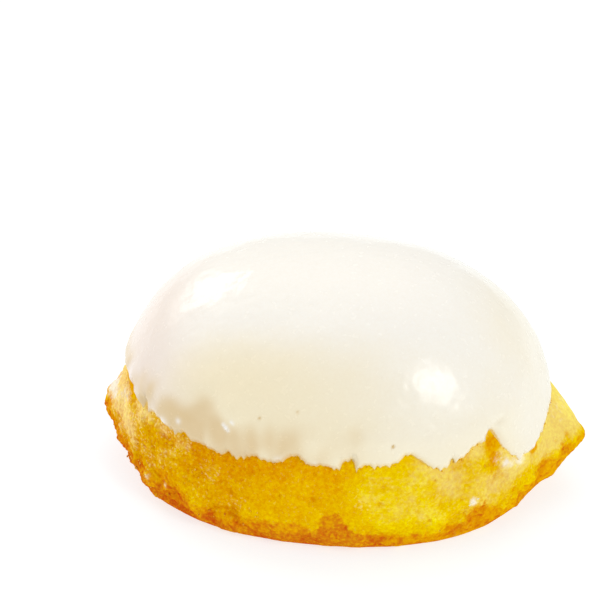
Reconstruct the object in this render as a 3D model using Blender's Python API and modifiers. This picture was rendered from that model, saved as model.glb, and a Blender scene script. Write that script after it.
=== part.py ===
"""Lemon cake: a lemon-shaped sponge under a thick coat of white icing.

Metres, +Z up. The cake rests on its flat underside at z = 0, with its long axis along X, its
longer tip at +X and the side that is seen first at -Y. Angles are turns around +Z from +X.
"""

import math
from collections import namedtuple

import bmesh
import bpy
from mathutils import Vector, noise

MM = 0.001

# The sponge, baked in a mould like half a lemon and turned out onto its risen top
BODY_HALF_LENGTH = 35.5 * MM
BODY_HALF_WIDTH = 26.2 * MM
OUTLINE_POWER = 2.15  # of the outline from above, where 2 is an ellipse
TIP_FADE = 7.6 * MM  # height above the rim over which a tip melts into the dome
TIP_UNDERCUT = 0.6  # share of a tip's length that is lost again at the underside's edge
SPONGE_HEIGHT = 36.9 * MM
RIM_HEIGHT = 5.2 * MM  # of the widest line, at mid length
RISE_POWER = 2.34  # of the dome's section: upwards, along the cake and across it
ALONG_POWER = 2.6
ACROSS_POWER = 2.09

BODY_MIDDLE_X = -1.5 * MM  # with the two tips and the crumb, this brings the cake's box to x = 0

# The two tips: how far each stands out from the body, and its outline from above, whose power
# is 2 for a round bump and less for a more pointed one
Tip = namedtuple("Tip", "length half_width power")
LONG_TIP = Tip(5.4 * MM, 6.0 * MM, 2.0)
SHORT_TIP = Tip(3.5 * MM, 6.7 * MM, 1.35)

# The foot, below the rim
FOOT_TUCK = 2.8 * MM  # how far it is drawn in under the rim
FLAT_HALF_LENGTH = 17.0 * MM  # of the stretch that rests on the table
TIP_LIFT = 4.8 * MM  # of the underside at the tips
LIFT_POWER = 2.7  # 1 for a straight rise towards the tips and more for one that steepens
RIM_LIFT_SHARE = 0.82  # of that lift, at the rim

# Relief of the bare crumb: how deep and wide its bumps are, and the seed of their pattern
Relief = namedtuple("Relief", "depth width seed")
WOBBLE = Relief(0.40 * MM, 16.0 * MM, 3.0)
CRAGS = Relief(0.40 * MM, 6.0 * MM, 11.0)
GRAIN = Relief(0.35 * MM, 3.0 * MM, 17.0)
CRUST_ROUGHNESS = 1.7  # times the depth of the crags and grain, at the rim
CRUST_HEIGHT = 4.0 * MM  # over which the crust's roughness fades, above the rim

# The icing
ICING_GAP = 0.35 * MM  # between the two solids
TOP_THICKNESS = 2.3 * MM
SIDE_THICKNESS = 1.3 * MM
END_THINNING = 0.45  # share of the thickness that is lost low down, at the cake's two ends
END_HALF_WIDTH = 35.0  # of that thin place: degrees round the cake, and climb
END_CLIMB = 0.4
EDGE_ROUNDING = 1.8 * MM  # length over which the coat swells from its lower edge
EDGE_SHARE = 0.35  # of its thickness, at the very edge
EDGE_HEIGHT = 16.2 * MM  # of the lower edge, above the table
EDGE_WANDER = Relief(0.25 * MM, 7.0 * MM, 5.0)  # of that height, along the edge
RIPPLE = Relief(0.16 * MM, 9.0 * MM, 7.0)  # of the thickness

# Where the icing's edge leaves its height: angle in degrees, climb, half width in degrees
Nick = namedtuple("Nick", "angle climb half_width")
NICKS = (
    Nick(-18.0, -4.8 * MM, 10.0),  # the lobe that ran down beside the long tip
    Nick(-31.2, 3.6 * MM, 2.4),  # the open notch next to it, steep on the lobe's side
    Nick(-36.0, 1.6 * MM, 4.0),
    Nick(-48.5, -1.0 * MM, 5.5),
    Nick(-57.0, 2.2 * MM, 4.2),
    Nick(-78.0, 0.9 * MM, 2.0),
    Nick(-97.0, 1.0 * MM, 3.5),
    Nick(-124.0, -0.4 * MM, 9.0),
    Nick(-148.0, 0.7 * MM, 3.0),
    Nick(-170.0, 2.2 * MM, 13.0),  # the coat ends higher at the short tip
    Nick(158.0, -1.6 * MM, 9.0),
    Nick(126.0, 1.7 * MM, 5.0),
    Nick(97.0, -1.2 * MM, 8.0),
    Nick(66.0, 2.2 * MM, 4.0),
    Nick(41.0, -2.0 * MM, 9.0),
    Nick(14.0, 1.6 * MM, 8.0),
)

# How the meshes are divided
SPONGE_COLUMNS, ICING_COLUMNS = 150, 120
UNDERSIDE_ROWS, FOOT_ROWS, BAND_ROWS, HIDDEN_ROWS = 3, 4, 12, 5
BAND_TOP = 0.30  # climb at which the rows hidden by the icing begin
ICING_ROWS = 12
ROW_GATHERING = 1.8  # above 1, rows gather at the icing's lower edge
SMALL_STEP = 1e-3  # of angle and climb, to find a direction on the dome
NEARLY_ZERO = 1e-5
SEED_DIRECTION = Vector((1.0, 2.3, -1.0))

SPONGE_COLOUR, SPONGE_ROUGHNESS = (0.80, 0.47, 0.03, 1.0), 0.85
ICING_COLOUR, ICING_ROUGHNESS = (0.95, 0.90, 0.76, 1.0), 0.3


def clear_scene():
    """Remove what the file opened with."""
    for item in list(bpy.data.objects):
        bpy.data.objects.remove(item)


def smooth_step(value):
    """Ease from 0 to 1."""
    value = min(max(value, 0.0), 1.0)
    return value * value * (3.0 - 2.0 * value)


def bumps(point, relief):
    """Height of a relief's bumps at a point, up or down from its mean."""
    return relief.depth * noise.noise(point / relief.width + SEED_DIRECTION * relief.seed)


def oval(angle, half_length, half_width):
    """A point of the body's outline from above."""
    cosine, sine = math.cos(angle), math.sin(angle)
    along = (abs(cosine) / half_length) ** OUTLINE_POWER
    across = (abs(sine) / half_width) ** OUTLINE_POWER
    reach = (along + across) ** (-1.0 / OUTLINE_POWER)
    return Vector((reach * cosine, reach * sine, 0.0))


def tip_towards(x):
    """The tip on this side of the middle."""
    return LONG_TIP if x > 0.0 else SHORT_TIP


def with_tips(point, share):
    """Draw an outline out into the lemon's two tips, by a share of their length."""
    tip = tip_towards(point.x)
    pull = tip.length * share * math.exp(-((abs(point.y) / tip.half_width) ** tip.power))
    return Vector((point.x + math.copysign(pull, point.x), point.y, point.z))


def lift_at(x):
    """Height of the underside above the table, which grows towards the tips."""
    beyond_flat = max(abs(x) - FLAT_HALF_LENGTH, 0.0)
    full = BODY_HALF_LENGTH + tip_towards(x).length - FLAT_HALF_LENGTH
    return TIP_LIFT * (beyond_flat / full) ** LIFT_POWER


def foot_point(angle, share):
    """The foot's side, from the underside's edge (share 0) up to the rim (share 1)."""
    inset = FOOT_TUCK * (1.0 - math.sqrt(1.0 - (1.0 - share) ** 2))
    outline = oval(angle, BODY_HALF_LENGTH - inset, BODY_HALF_WIDTH - inset)
    point = with_tips(outline, 1.0 - TIP_UNDERCUT * (1.0 - share))
    point.z = RIM_HEIGHT * share + lift_at(point.x) * (1.0 - share * (1.0 - RIM_LIFT_SHARE))
    return point


def underside_point(angle, share):
    """The underside, from its middle (share 0) to its edge (share 1)."""
    edge = foot_point(angle, 0.0)
    return Vector((edge.x * share, edge.y * share, lift_at(edge.x * share)))


def dome_point(angle, climb):
    """The domed side, from the rim (climb 0) to the top (climb 1)."""
    turn = climb * math.pi / 2.0
    cosine = max(math.cos(turn), NEARLY_ZERO)
    above_rim = (SPONGE_HEIGHT - RIM_HEIGHT) * math.sin(turn) ** (2.0 / RISE_POWER)
    half_length = BODY_HALF_LENGTH * cosine ** (2.0 / ALONG_POWER)
    half_width = BODY_HALF_WIDTH * cosine ** (2.0 / ACROSS_POWER)
    tip_share = math.exp(-((above_rim / TIP_FADE) ** 2))
    point = with_tips(oval(angle, half_length, half_width), tip_share)
    point.z = RIM_HEIGHT + above_rim + lift_at(point.x) * RIM_LIFT_SHARE * tip_share
    return point


def dome_outward(angle, climb):
    """The direction that the domed side faces."""
    if climb > 1.0 - SMALL_STEP:
        return Vector((0.0, 0.0, 1.0))
    around = dome_point(angle + SMALL_STEP, climb) - dome_point(angle - SMALL_STEP, climb)
    low = max(climb - SMALL_STEP, 0.0)
    upward = dome_point(angle, climb + SMALL_STEP) - dome_point(angle, low)
    return around.cross(upward).normalized()


def climb_at(height):
    """The climb at which the domed side reaches a height above the table."""
    share = (height - RIM_HEIGHT) / (SPONGE_HEIGHT - RIM_HEIGHT)
    return math.asin(share ** (RISE_POWER / 2.0)) / (math.pi / 2.0)


def edge_height(angle):
    """Height of the icing's lower edge."""
    height = EDGE_HEIGHT + bumps(dome_point(angle, climb_at(EDGE_HEIGHT)), EDGE_WANDER)
    for nick in NICKS:
        turn = (math.degrees(angle) - nick.angle + 180.0) % 360.0 - 180.0
        height += nick.climb * math.exp(-((turn / nick.half_width) ** 2))
    return height


def crag(point):
    """How far the baked crumb stands out of the smooth form."""
    above_rim = point.z - RIM_HEIGHT - lift_at(point.x) * RIM_LIFT_SHARE
    crust = 1.0 - smooth_step(above_rim / CRUST_HEIGHT)
    rough = (bumps(point, CRAGS) + bumps(point, GRAIN)) * (1.0 + (CRUST_ROUGHNESS - 1.0) * crust)
    return bumps(point, WOBBLE) + rough


def sponge_vertex(angle, row):
    """Place of a vertex of the sponge, from row 0 at the underside's middle to the top."""
    if row <= UNDERSIDE_ROWS:
        return underside_point(angle, row / UNDERSIDE_ROWS)
    row -= UNDERSIDE_ROWS
    if row <= FOOT_ROWS:
        share = row / FOOT_ROWS
        point = foot_point(angle, share)
        return point + dome_outward(angle, 0.0) * crag(point) * smooth_step(2.0 * share)
    row -= FOOT_ROWS
    if row <= BAND_ROWS:
        climb = BAND_TOP * row / BAND_ROWS
    else:
        climb = BAND_TOP + (1.0 - BAND_TOP) * (row - BAND_ROWS) / HIDDEN_ROWS
    point = dome_point(angle, climb)
    bare = smooth_step((edge_height(angle) - point.z) / EDGE_ROUNDING)
    return point + dome_outward(angle, climb) * crag(point) * bare


def icing_climb(angle, row):
    """Climb of a row of the icing, from row 0 at its lower edge to the top."""
    lowest = climb_at(edge_height(angle))
    return lowest + (1.0 - lowest) * (row / ICING_ROWS) ** ROW_GATHERING


def icing_vertex(angle, row):
    """Place of a vertex of the icing's inner side, just off the sponge."""
    climb = icing_climb(angle, row)
    return dome_point(angle, climb) + dome_outward(angle, climb) * ICING_GAP


def icing_share(angle, row):
    """Thickness of the icing at a vertex, as a share of its thickness at the top."""
    climb = icing_climb(angle, row)
    point = dome_point(angle, climb)
    from_edge = (point - dome_point(angle, icing_climb(angle, 0))).length
    swell = min(from_edge / EDGE_ROUNDING, 1.0)
    rounded = EDGE_SHARE + (1.0 - EDGE_SHARE) * math.sqrt(1.0 - (1.0 - swell) ** 2)
    side = SIDE_THICKNESS / TOP_THICKNESS
    full = side + (1.0 - side) * smooth_step(climb)
    from_end = math.degrees(math.asin(min(abs(math.sin(angle)), 1.0)))
    spread = (from_end / END_HALF_WIDTH) ** 2 + (climb / END_CLIMB) ** 2
    full *= 1.0 - END_THINNING * math.exp(-spread)
    return min(full * rounded + bumps(point, RIPPLE) / TOP_THICKNESS * swell, 1.0)


def shaped_sphere(name, columns, rows, first_row, place, share=None):
    """A sphere's mesh with its vertices moved to place(angle, row).

    Rows count from its south pole, and those before first_row are cut away, which leaves it
    open there. The first vertex group takes each vertex's share(angle, row).
    """
    shape = bmesh.new()
    bmesh.ops.create_uvsphere(shape, u_segments=columns, v_segments=rows, radius=1.0)
    groups = shape.verts.layers.deform.verify()
    cut_away = []
    for vertex in shape.verts:
        latitude = math.asin(min(max(vertex.co.z, -1.0), 1.0))
        row = round((latitude / math.pi + 0.5) * rows) - first_row
        if row < 0:
            cut_away.append(vertex)
            continue
        angle = math.atan2(vertex.co.y, vertex.co.x)
        vertex.co = place(angle, row)
        if share:
            vertex[groups][0] = share(angle, row)
    bmesh.ops.delete(shape, geom=cut_away, context="VERTS")
    mesh = bpy.data.meshes.new(name)
    shape.to_mesh(mesh)
    shape.free()
    mesh.shade_smooth()
    return mesh


def make_material(name, colour, roughness):
    """A plain Principled material."""
    material = bpy.data.materials.new(name)
    material.use_nodes = True
    shader = material.node_tree.nodes["Principled BSDF"]
    shader.inputs["Base Color"].default_value = colour
    shader.inputs["Roughness"].default_value = roughness
    shader.inputs["Metallic"].default_value = 0.0
    return material


def place_in_cake(name, mesh, material, collection):
    """Make an object of a sub-part, moved so that the cake's two ends lie equally far from x = 0."""
    mesh.materials.append(material)
    item = bpy.data.objects.new(name, mesh)
    item.location.x = BODY_MIDDLE_X
    collection.objects.link(item)
    return item


def make_sponge(collection):
    """The baked sponge, solid through, with its craggy crumb and drawn-in foot."""
    rows = UNDERSIDE_ROWS + FOOT_ROWS + BAND_ROWS + HIDDEN_ROWS
    mesh = shaped_sphere("sponge", SPONGE_COLUMNS, rows, 0, sponge_vertex)
    material = make_material("sponge", SPONGE_COLOUR, SPONGE_ROUGHNESS)
    place_in_cake("sponge", mesh, material, collection)


def make_icing(collection):
    """The icing: an open skin over the dome, thickened outwards by its vertex group."""
    mesh = shaped_sphere(
        "icing", ICING_COLUMNS, 2 * ICING_ROWS, ICING_ROWS, icing_vertex, icing_share
    )
    material = make_material("icing", ICING_COLOUR, ICING_ROUGHNESS)
    icing = place_in_cake("icing", mesh, material, collection)
    coat = icing.vertex_groups.new(name="coat")
    solidify = icing.modifiers.new("coat", "SOLIDIFY")
    solidify.thickness = TOP_THICKNESS
    solidify.offset = 1.0
    solidify.vertex_group = coat.name


def main():
    """Build the cake in a collection of its own."""
    clear_scene()
    collection = bpy.data.collections.new("lemon cake")
    bpy.context.scene.collection.children.link(collection)
    make_sponge(collection)
    make_icing(collection)


main()
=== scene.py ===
"""Looks of the lemon cake: golden sponge with a browned foot, under thick white icing."""
import logging
import math
from dataclasses import dataclass, field
from enum import Enum
from itertools import combinations

import bpy
import numpy as np
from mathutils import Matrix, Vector, noise
from mathutils.kdtree import KDTree


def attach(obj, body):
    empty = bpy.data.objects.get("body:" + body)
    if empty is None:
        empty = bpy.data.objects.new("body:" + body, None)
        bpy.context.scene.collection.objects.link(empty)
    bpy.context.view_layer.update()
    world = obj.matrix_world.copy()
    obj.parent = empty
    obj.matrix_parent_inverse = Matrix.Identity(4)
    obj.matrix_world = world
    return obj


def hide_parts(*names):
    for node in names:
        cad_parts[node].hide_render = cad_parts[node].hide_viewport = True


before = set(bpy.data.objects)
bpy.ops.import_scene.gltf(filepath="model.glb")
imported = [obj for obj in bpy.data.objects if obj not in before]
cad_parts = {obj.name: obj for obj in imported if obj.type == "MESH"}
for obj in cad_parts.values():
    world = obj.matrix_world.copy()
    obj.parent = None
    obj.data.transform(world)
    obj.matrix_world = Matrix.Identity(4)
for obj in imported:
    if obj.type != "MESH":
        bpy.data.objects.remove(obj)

MM = 0.001
WHITE = (1.0, 1.0, 1.0, 1.0)
SEED_DIRECTION = np.array((1.0, 2.3, -1.0))  # where a seed moves a relief
SEED_SHIFT = 3.7  # how far a seed moves a mottle
MEAN_HUMP = 0.17  # mean size of the noise, which runs from -1 to 1
CELL_DRAW = 7.0  # sets neighbouring cells apart when it is decided which hold a pit
FINE_STEPS = 8  # steps for each column when the rim is measured
SLOPE_STEP = 1e-3  # step of angle and level when a slope is measured
LEAST_COSINE = 1e-5  # keeps the very top of the dome from closing
SHORTEST = 1e-12  # least length that is divided by
MIX_FACTOR, MIX_FIRST, MIX_SECOND, MIX_RESULT = 0, 6, 7, 2  # sockets of a Mix node for colours
log = logging.getLogger("lemon_cake")


class Slot(Enum):
    """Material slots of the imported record."""

    SPONGE = "sponge"
    ICING = "icing"


class Outline(Enum):
    """Outlines of a soft light."""

    ROUND = "ELLIPSE"
    SQUARE = "RECTANGLE"


def ease(value: np.ndarray) -> np.ndarray:
    """Ease from 0 to 1 where the value runs from 0 to 1.

    Args:
        value: Any numbers.

    Returns:
        The eased numbers, held between 0 and 1.
    """
    value = np.clip(value, 0.0, 1.0)
    return value * value * (3.0 - 2.0 * value)


def bell(value: np.ndarray) -> np.ndarray:
    """A bell curve that is 1 at 0 and about a third at 1."""
    return np.exp(-np.square(value))


@dataclass(frozen=True)
class Ramp:
    """An eased change from 0 at its start to 1 at its end, which may lie below the start."""

    start: float
    end: float

    def at(self, value: np.ndarray) -> np.ndarray:
        """How far values have gone from the start to the end, from 0 to 1."""
        return ease((value - self.start) / (self.end - self.start))


@dataclass(frozen=True)
class Relief:
    """Smooth bumps of one size, the same in every direction."""

    depth: float
    width: float
    seed: float

    def at(self, points: np.ndarray) -> np.ndarray:
        """Height of the bumps at points.

        Args:
            points: Places on the cake, in metres, with x, y and z last.

        Returns:
            How far each place stands out, in metres.
        """
        spots = (points.reshape(-1, 3) / self.width + SEED_DIRECTION * self.seed).tolist()
        heights = np.fromiter(map(noise.noise, spots), float, len(spots))
        return self.depth * heights.reshape(points.shape[:-1])

    def humps(self, points: np.ndarray) -> np.ndarray:
        """Height of round humps with creases between them, in metres, about a mean of 0."""
        return np.abs(self.at(points)) - MEAN_HUMP * self.depth


@dataclass(frozen=True)
class Spot:
    """A round place on the cake, in millimetres from the body's middle, and its radius."""

    x: float
    y: float
    z: float
    radius: float
    amount: float = 1.0

    def at(self, points: np.ndarray) -> np.ndarray:
        """How near points lie to its middle, as a bell curve times its amount.

        Args:
            points: Places in metres, with the body's middle at x = 0.

        Returns:
            The spot's amount in its middle and 0 far away.
        """
        apart = np.linalg.norm(points / MM - np.array((self.x, self.y, self.z)), axis=-1)
        return self.amount * bell(apart / self.radius)


def total(spots: tuple[Spot, ...], points: np.ndarray) -> np.ndarray:
    """Sum of what some spots amount to at points."""
    return sum(spot.at(points) for spot in spots)


@dataclass(frozen=True)
class Pores:
    """Small round pits, one in each of a share of the cells that space is split into."""

    depth: float
    cell: float
    radius: float
    share: float
    seed: float

    def at(self, points: np.ndarray) -> np.ndarray:
        """How far into a pit each point lies.

        Args:
            points: Places on the cake, in metres, with x, y and z last.

        Returns:
            0 on the open surface and 1 in the middle of a pit.
        """
        spots = points.reshape(-1, 3) / self.cell + SEED_DIRECTION * self.seed
        pits = np.zeros(len(spots))
        for index, spot in enumerate(spots.tolist()):
            distances, centres = noise.voronoi(spot)
            if noise.cell(centres[0] * CELL_DRAW) < self.share:
                pits[index] = 1.0 - distances[0] * self.cell / self.radius
        return ease(pits).reshape(points.shape[:-1])


@dataclass(frozen=True)
class Tip:
    """One of the lemon's tips."""

    length: float
    half_width: float
    power: float


@dataclass(frozen=True)
class LemonForm:
    """The smooth form of the sponge, with its middle at the body's middle.

    A place on its side is an angle around +Z and a level: -1 at the underside's edge, 0 at the
    rim and 1 at the top.
    """

    half_length: float = 35.5 * MM
    half_width: float = 26.2 * MM
    outline_power: float = 2.15
    long_tip: Tip = Tip(5.4 * MM, 6.0 * MM, 2.0)
    short_tip: Tip = Tip(3.5 * MM, 6.7 * MM, 1.35)
    tip_fade: float = 7.6 * MM
    tip_undercut: float = 0.6
    height: float = 36.9 * MM
    rim_height: float = 5.2 * MM
    rise_power: float = 2.34
    along_power: float = 2.6
    across_power: float = 2.09
    foot_tuck: float = 2.8 * MM
    flat_half_length: float = 17.0 * MM
    tip_lift: float = 4.8 * MM
    lift_power: float = 2.7
    rim_lift_share: float = 0.82
    middle_x: float = -1.5 * MM

    @property
    def middle(self) -> np.ndarray:
        """The body's middle in the row's frame, whose origin is midway between the two ends."""
        return np.array((self.middle_x, 0.0, 0.0))

    def oval(self, angle: np.ndarray, half_length: np.ndarray, half_width: np.ndarray) -> np.ndarray:
        """Points of the body's outline from above.

        Args:
            angle: Turns around +Z from +X, in radians.
            half_length: Half the outline's length, in metres.
            half_width: Half the outline's width, in metres.

        Returns:
            Points at height 0.
        """
        cosine, sine = np.cos(angle), np.sin(angle)
        along = (np.abs(cosine) / half_length) ** self.outline_power
        across = (np.abs(sine) / half_width) ** self.outline_power
        reach = (along + across) ** (-1.0 / self.outline_power)
        return np.stack((reach * cosine, reach * sine, np.zeros_like(reach)), -1)

    def with_tips(self, points: np.ndarray, share: np.ndarray) -> np.ndarray:
        """Draw an outline out into the two tips.

        Args:
            points: Points of the outline.
            share: Share of the tips' full length, from 0 to 1.

        Returns:
            The moved points.
        """
        x, y = points[..., 0], np.abs(points[..., 1])
        long, short = self.long_tip, self.short_tip
        long_pull = long.length * np.exp(-((y / long.half_width) ** long.power))
        short_pull = short.length * np.exp(-((y / short.half_width) ** short.power))
        moved = points.copy()
        moved[..., 0] += share * np.where(x > 0.0, long_pull, -short_pull)
        return moved

    def lift(self, x: np.ndarray) -> np.ndarray:
        """Height of the underside above the table.

        Args:
            x: Distances along the cake from the body's middle, in metres.

        Returns:
            Heights in metres: 0 under the middle, and most under the tips.
        """
        tip = np.where(x > 0.0, self.long_tip.length, self.short_tip.length)
        beyond_flat = np.maximum(np.abs(x) - self.flat_half_length, 0.0)
        share = beyond_flat / (self.half_length + tip - self.flat_half_length)
        return self.tip_lift * share ** self.lift_power

    def side(self, angle: np.ndarray, level: np.ndarray) -> np.ndarray:
        """Points of the sponge's side.

        Args:
            angle: Turns around +Z from +X, in radians.
            level: -1 at the underside's edge, 0 at the rim and 1 at the top.

        Returns:
            Points in metres, with the body's middle at x = 0.
        """
        angle, level = np.broadcast_arrays(angle, level)
        share = np.clip(level + 1.0, 0.0, 1.0)
        inset = self.foot_tuck * (1.0 - np.sqrt(1.0 - (1.0 - share) ** 2))
        turn = np.clip(level, 0.0, 1.0) * math.pi / 2.0
        cosine = np.maximum(np.cos(turn), LEAST_COSINE)
        above_rim = (self.height - self.rim_height) * np.sin(turn) ** (2.0 / self.rise_power)
        half_length = (self.half_length - inset) * cosine ** (2.0 / self.along_power)
        half_width = (self.half_width - inset) * cosine ** (2.0 / self.across_power)
        tip_share = bell(above_rim / self.tip_fade)
        tip_length = tip_share * (1.0 - self.tip_undercut * (1.0 - share))
        points = self.with_tips(self.oval(angle, half_length, half_width), tip_length)
        lift_share = tip_share * (1.0 - share * (1.0 - self.rim_lift_share))
        points[..., 2] = self.rim_height * share + above_rim + self.lift(points[..., 0]) * lift_share
        return points

    def underside(self, angle: np.ndarray, share: np.ndarray) -> np.ndarray:
        """Points of the underside.

        Args:
            angle: Turns around +Z from +X, in radians.
            share: 0 in the middle and 1 at the edge.

        Returns:
            Points in metres, with the body's middle at x = 0.
        """
        angle, share = np.broadcast_arrays(angle, share)
        points = self.side(angle, np.full(angle.shape, -1.0)) * share[..., None]
        points[..., 2] = self.lift(points[..., 0])
        return points

    def level_at(self, height: np.ndarray) -> np.ndarray:
        """The level at which the side reaches a height, away from the tips.

        Args:
            height: Heights above the table, in metres.

        Returns:
            Levels from -1 at the underside's edge to 1 at the top.
        """
        share = np.clip((height - self.rim_height) / (self.height - self.rim_height), 0.0, 1.0)
        above = np.arcsin(share ** (self.rise_power / 2.0)) / (math.pi / 2.0)
        return np.where(height < self.rim_height, height / self.rim_height - 1.0, above)

    def surface(self, angle: np.ndarray, height: np.ndarray) -> tuple[np.ndarray, ...]:
        """Places on the side and the directions there.

        Args:
            angle: Turns around +Z from +X, in radians.
            height: Heights above the table, in metres, away from the tips.

        Returns:
            The places, and unit vectors outwards and around the cake.
        """
        level = self.level_at(height)
        place = self.side(angle, level)
        around = self.side(angle + SLOPE_STEP, level) - place
        upward = self.side(angle, level + SLOPE_STEP) - place
        return place, unit(np.cross(around, upward)), unit(around)

    def angles(self, count: int) -> np.ndarray:
        """Angles that divide the rim into equal lengths.

        Args:
            count: How many.

        Returns:
            The angles, from -180 degrees upwards, in radians.
        """
        fine = np.linspace(-math.pi, math.pi, FINE_STEPS * count + 1)
        points = self.side(fine, np.zeros_like(fine))
        run = np.r_[0.0, np.cumsum(np.linalg.norm(np.diff(points, axis=0), axis=1))]
        return np.interp(np.linspace(0.0, run[-1], count, endpoint=False), run, fine)


def unit(vectors: np.ndarray) -> np.ndarray:
    """Vectors of length 1 in the same directions."""
    return vectors / np.maximum(np.linalg.norm(vectors, axis=-1, keepdims=True), SHORTEST)


def outward(grid: np.ndarray) -> np.ndarray:
    """Directions that a grid of rings faces.

    Args:
        grid: Points in rows from bottom to top, with columns all the way round.

    Returns:
        A unit vector for each point.
    """
    around = np.roll(grid, -1, axis=1) - np.roll(grid, 1, axis=1)
    return unit(np.cross(around, np.gradient(grid, axis=0)))


def ring_mesh(name: str, grid: np.ndarray) -> bpy.types.Object:
    """A closed mesh whose rings are the rows of a grid, with one point past each end.

    Args:
        name: The object's name.
        grid: Points in rows, with columns all the way round.

    Returns:
        The object, linked to the scene.
    """
    rows, columns = grid.shape[:2]
    index = np.arange(rows * columns).reshape(rows, columns)
    following = np.roll(index, -1, axis=1)
    quads = np.stack((index[:-1], following[:-1], following[1:], index[1:]), -1)
    faces = quads.reshape(-1, 4).tolist()
    first, last = rows * columns, rows * columns + 1
    faces += [(first, b, a) for a, b in zip(index[0].tolist(), following[0].tolist())]
    faces += [(last, a, b) for a, b in zip(index[-1].tolist(), following[-1].tolist())]
    points = np.vstack((grid.reshape(-1, 3), grid[0].mean(0), grid[-1].mean(0)))
    return add_object(name, points, faces)


def add_object(name: str, points: np.ndarray, faces: list) -> bpy.types.Object:
    """Make a smooth-shaded mesh object in the row's frame.

    Args:
        name: The object's name.
        points: Its vertices, in metres.
        faces: Vertex numbers of each face.

    Returns:
        The object, linked to the scene.
    """
    mesh = bpy.data.meshes.new(name)
    mesh.from_pydata(points.tolist(), [], faces)
    mesh.validate()
    mesh.shade_smooth()
    item = bpy.data.objects.new(name, mesh)
    bpy.context.scene.collection.objects.link(item)
    return item


def set_masks(item: bpy.types.Object, masks: dict[str, np.ndarray], hidden: int = 0) -> None:
    """Store values at the vertices, held from 0 to 1, for the material to read.

    Args:
        item: The object.
        masks: A number for each vertex, or for all but some, under each mask's name.
        hidden: How many vertices come before those that have a number.
    """
    for name, values in masks.items():
        flat = np.clip(values, 0.0, 1.0).ravel()
        padded = np.zeros(len(item.data.vertices), np.float32)
        padded[hidden: hidden + flat.size] = flat
        mask = item.data.attributes.new(name, "FLOAT", "POINT")
        mask.data.foreach_set("value", padded)


@dataclass(frozen=True)
class Nick:
    """A place where the icing's edge leaves its height, with its angle and half width in degrees."""

    angle: float
    climb: float
    half_width: float


@dataclass(frozen=True)
class IcingEdge:
    """Height of the icing's lower edge all the way round."""

    height: float = 16.2 * MM
    wander: Relief = Relief(0.25 * MM, 7.0 * MM, 5.0)
    nicks: tuple[Nick, ...] = (
        Nick(-18.0, -4.8 * MM, 10.0),
        Nick(-30.2, 3.6 * MM, 2.4),
        Nick(-34.6, 1.7 * MM, 3.6),
        Nick(-48.5, -1.0 * MM, 5.5),
        Nick(-57.0, 2.2 * MM, 4.2),
        Nick(-78.0, 0.9 * MM, 2.0),
        Nick(-97.0, 1.0 * MM, 3.5),
        Nick(-124.0, -0.4 * MM, 9.0),
        Nick(-148.0, 0.7 * MM, 3.0),
        Nick(-170.0, 2.2 * MM, 13.0),
        Nick(158.0, -1.6 * MM, 9.0),
        Nick(126.0, 1.7 * MM, 5.0),
        Nick(97.0, -1.2 * MM, 8.0),
        Nick(66.0, 2.2 * MM, 4.0),
        Nick(41.0, -2.0 * MM, 9.0),
        Nick(14.0, 1.6 * MM, 8.0),
    )
    tears: tuple[Nick, ...] = (
        Nick(-22.3, -0.9 * MM, 1.0),
        Nick(-26.6, 0.6 * MM, 0.7),
        Nick(-43.9, 1.1 * MM, 0.6),
        Nick(-74.9, -1.2 * MM, 0.5),
        Nick(-76.6, 1.9 * MM, 0.75),
        Nick(-79.0, 0.7 * MM, 0.9),
        Nick(-120.6, 0.6 * MM, 0.7),
        Nick(-137.0, 1.0 * MM, 0.9),
        Nick(-153.2, 1.9 * MM, 0.6),
        Nick(-161.5, 1.1 * MM, 1.1),
    )
    scallops: Relief = Relief(0.60 * MM, 2.8 * MM, 21.0)
    ticks: Relief = Relief(1.2 * MM, 0.9 * MM, 23.0)

    @staticmethod
    def climb(angle: np.ndarray, nicks: tuple[Nick, ...]) -> np.ndarray:
        """How far some nicks raise the edge.

        Args:
            angle: Turns around +Z from +X, in radians.
            nicks: The nicks.

        Returns:
            Heights in metres, below 0 where the edge hangs lower.
        """
        climb = np.zeros(angle.shape)
        for nick in nicks:
            turn = (np.degrees(angle) - nick.angle + 180.0) % 360.0 - 180.0
            climb += nick.climb * bell(turn / nick.half_width)
        return climb

    def smooth_height(self, form: LemonForm, angle: np.ndarray) -> np.ndarray:
        """The edge's height without its tears and scallops.

        Args:
            form: The sponge that it lies on.
            angle: Turns around +Z from +X, in radians.

        Returns:
            Heights above the table, in metres.
        """
        base = form.side(angle, form.level_at(np.full(angle.shape, self.height)))
        return self.height + self.wander.at(base) + self.climb(angle, self.nicks)

    def ragged_height(self, form: LemonForm, angle: np.ndarray) -> np.ndarray:
        """The edge's height with its tears and fine scallops.

        Args:
            form: The sponge that it lies on.
            angle: Turns around +Z from +X, in radians.

        Returns:
            Heights above the table, in metres.
        """
        base = form.side(angle, form.level_at(np.full(angle.shape, self.height)))
        fine = self.scallops.at(base) - self.ticks.humps(base) + self.climb(angle, self.tears)
        return self.smooth_height(form, angle) + fine


@dataclass(frozen=True)
class Colour:
    """A colour as red, green and blue from 0 to 255, as a screen shows it."""

    red: int
    green: int
    blue: int

    def linear(self, gain: float = 1.0) -> tuple[float, float, float, float]:
        """The colour as a shader takes it.

        Args:
            gain: Factor on its brightness.

        Returns:
            Linear red, green and blue, held below 1, and an alpha of 1.
        """
        shares = (value / 255.0 for value in (self.red, self.green, self.blue))
        bright = [s / 12.92 if s <= 0.04045 else ((s + 0.055) / 1.055) ** 2.4 for s in shares]
        return (*(min(value * gain, 1.0) for value in bright), 1.0)


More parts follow.
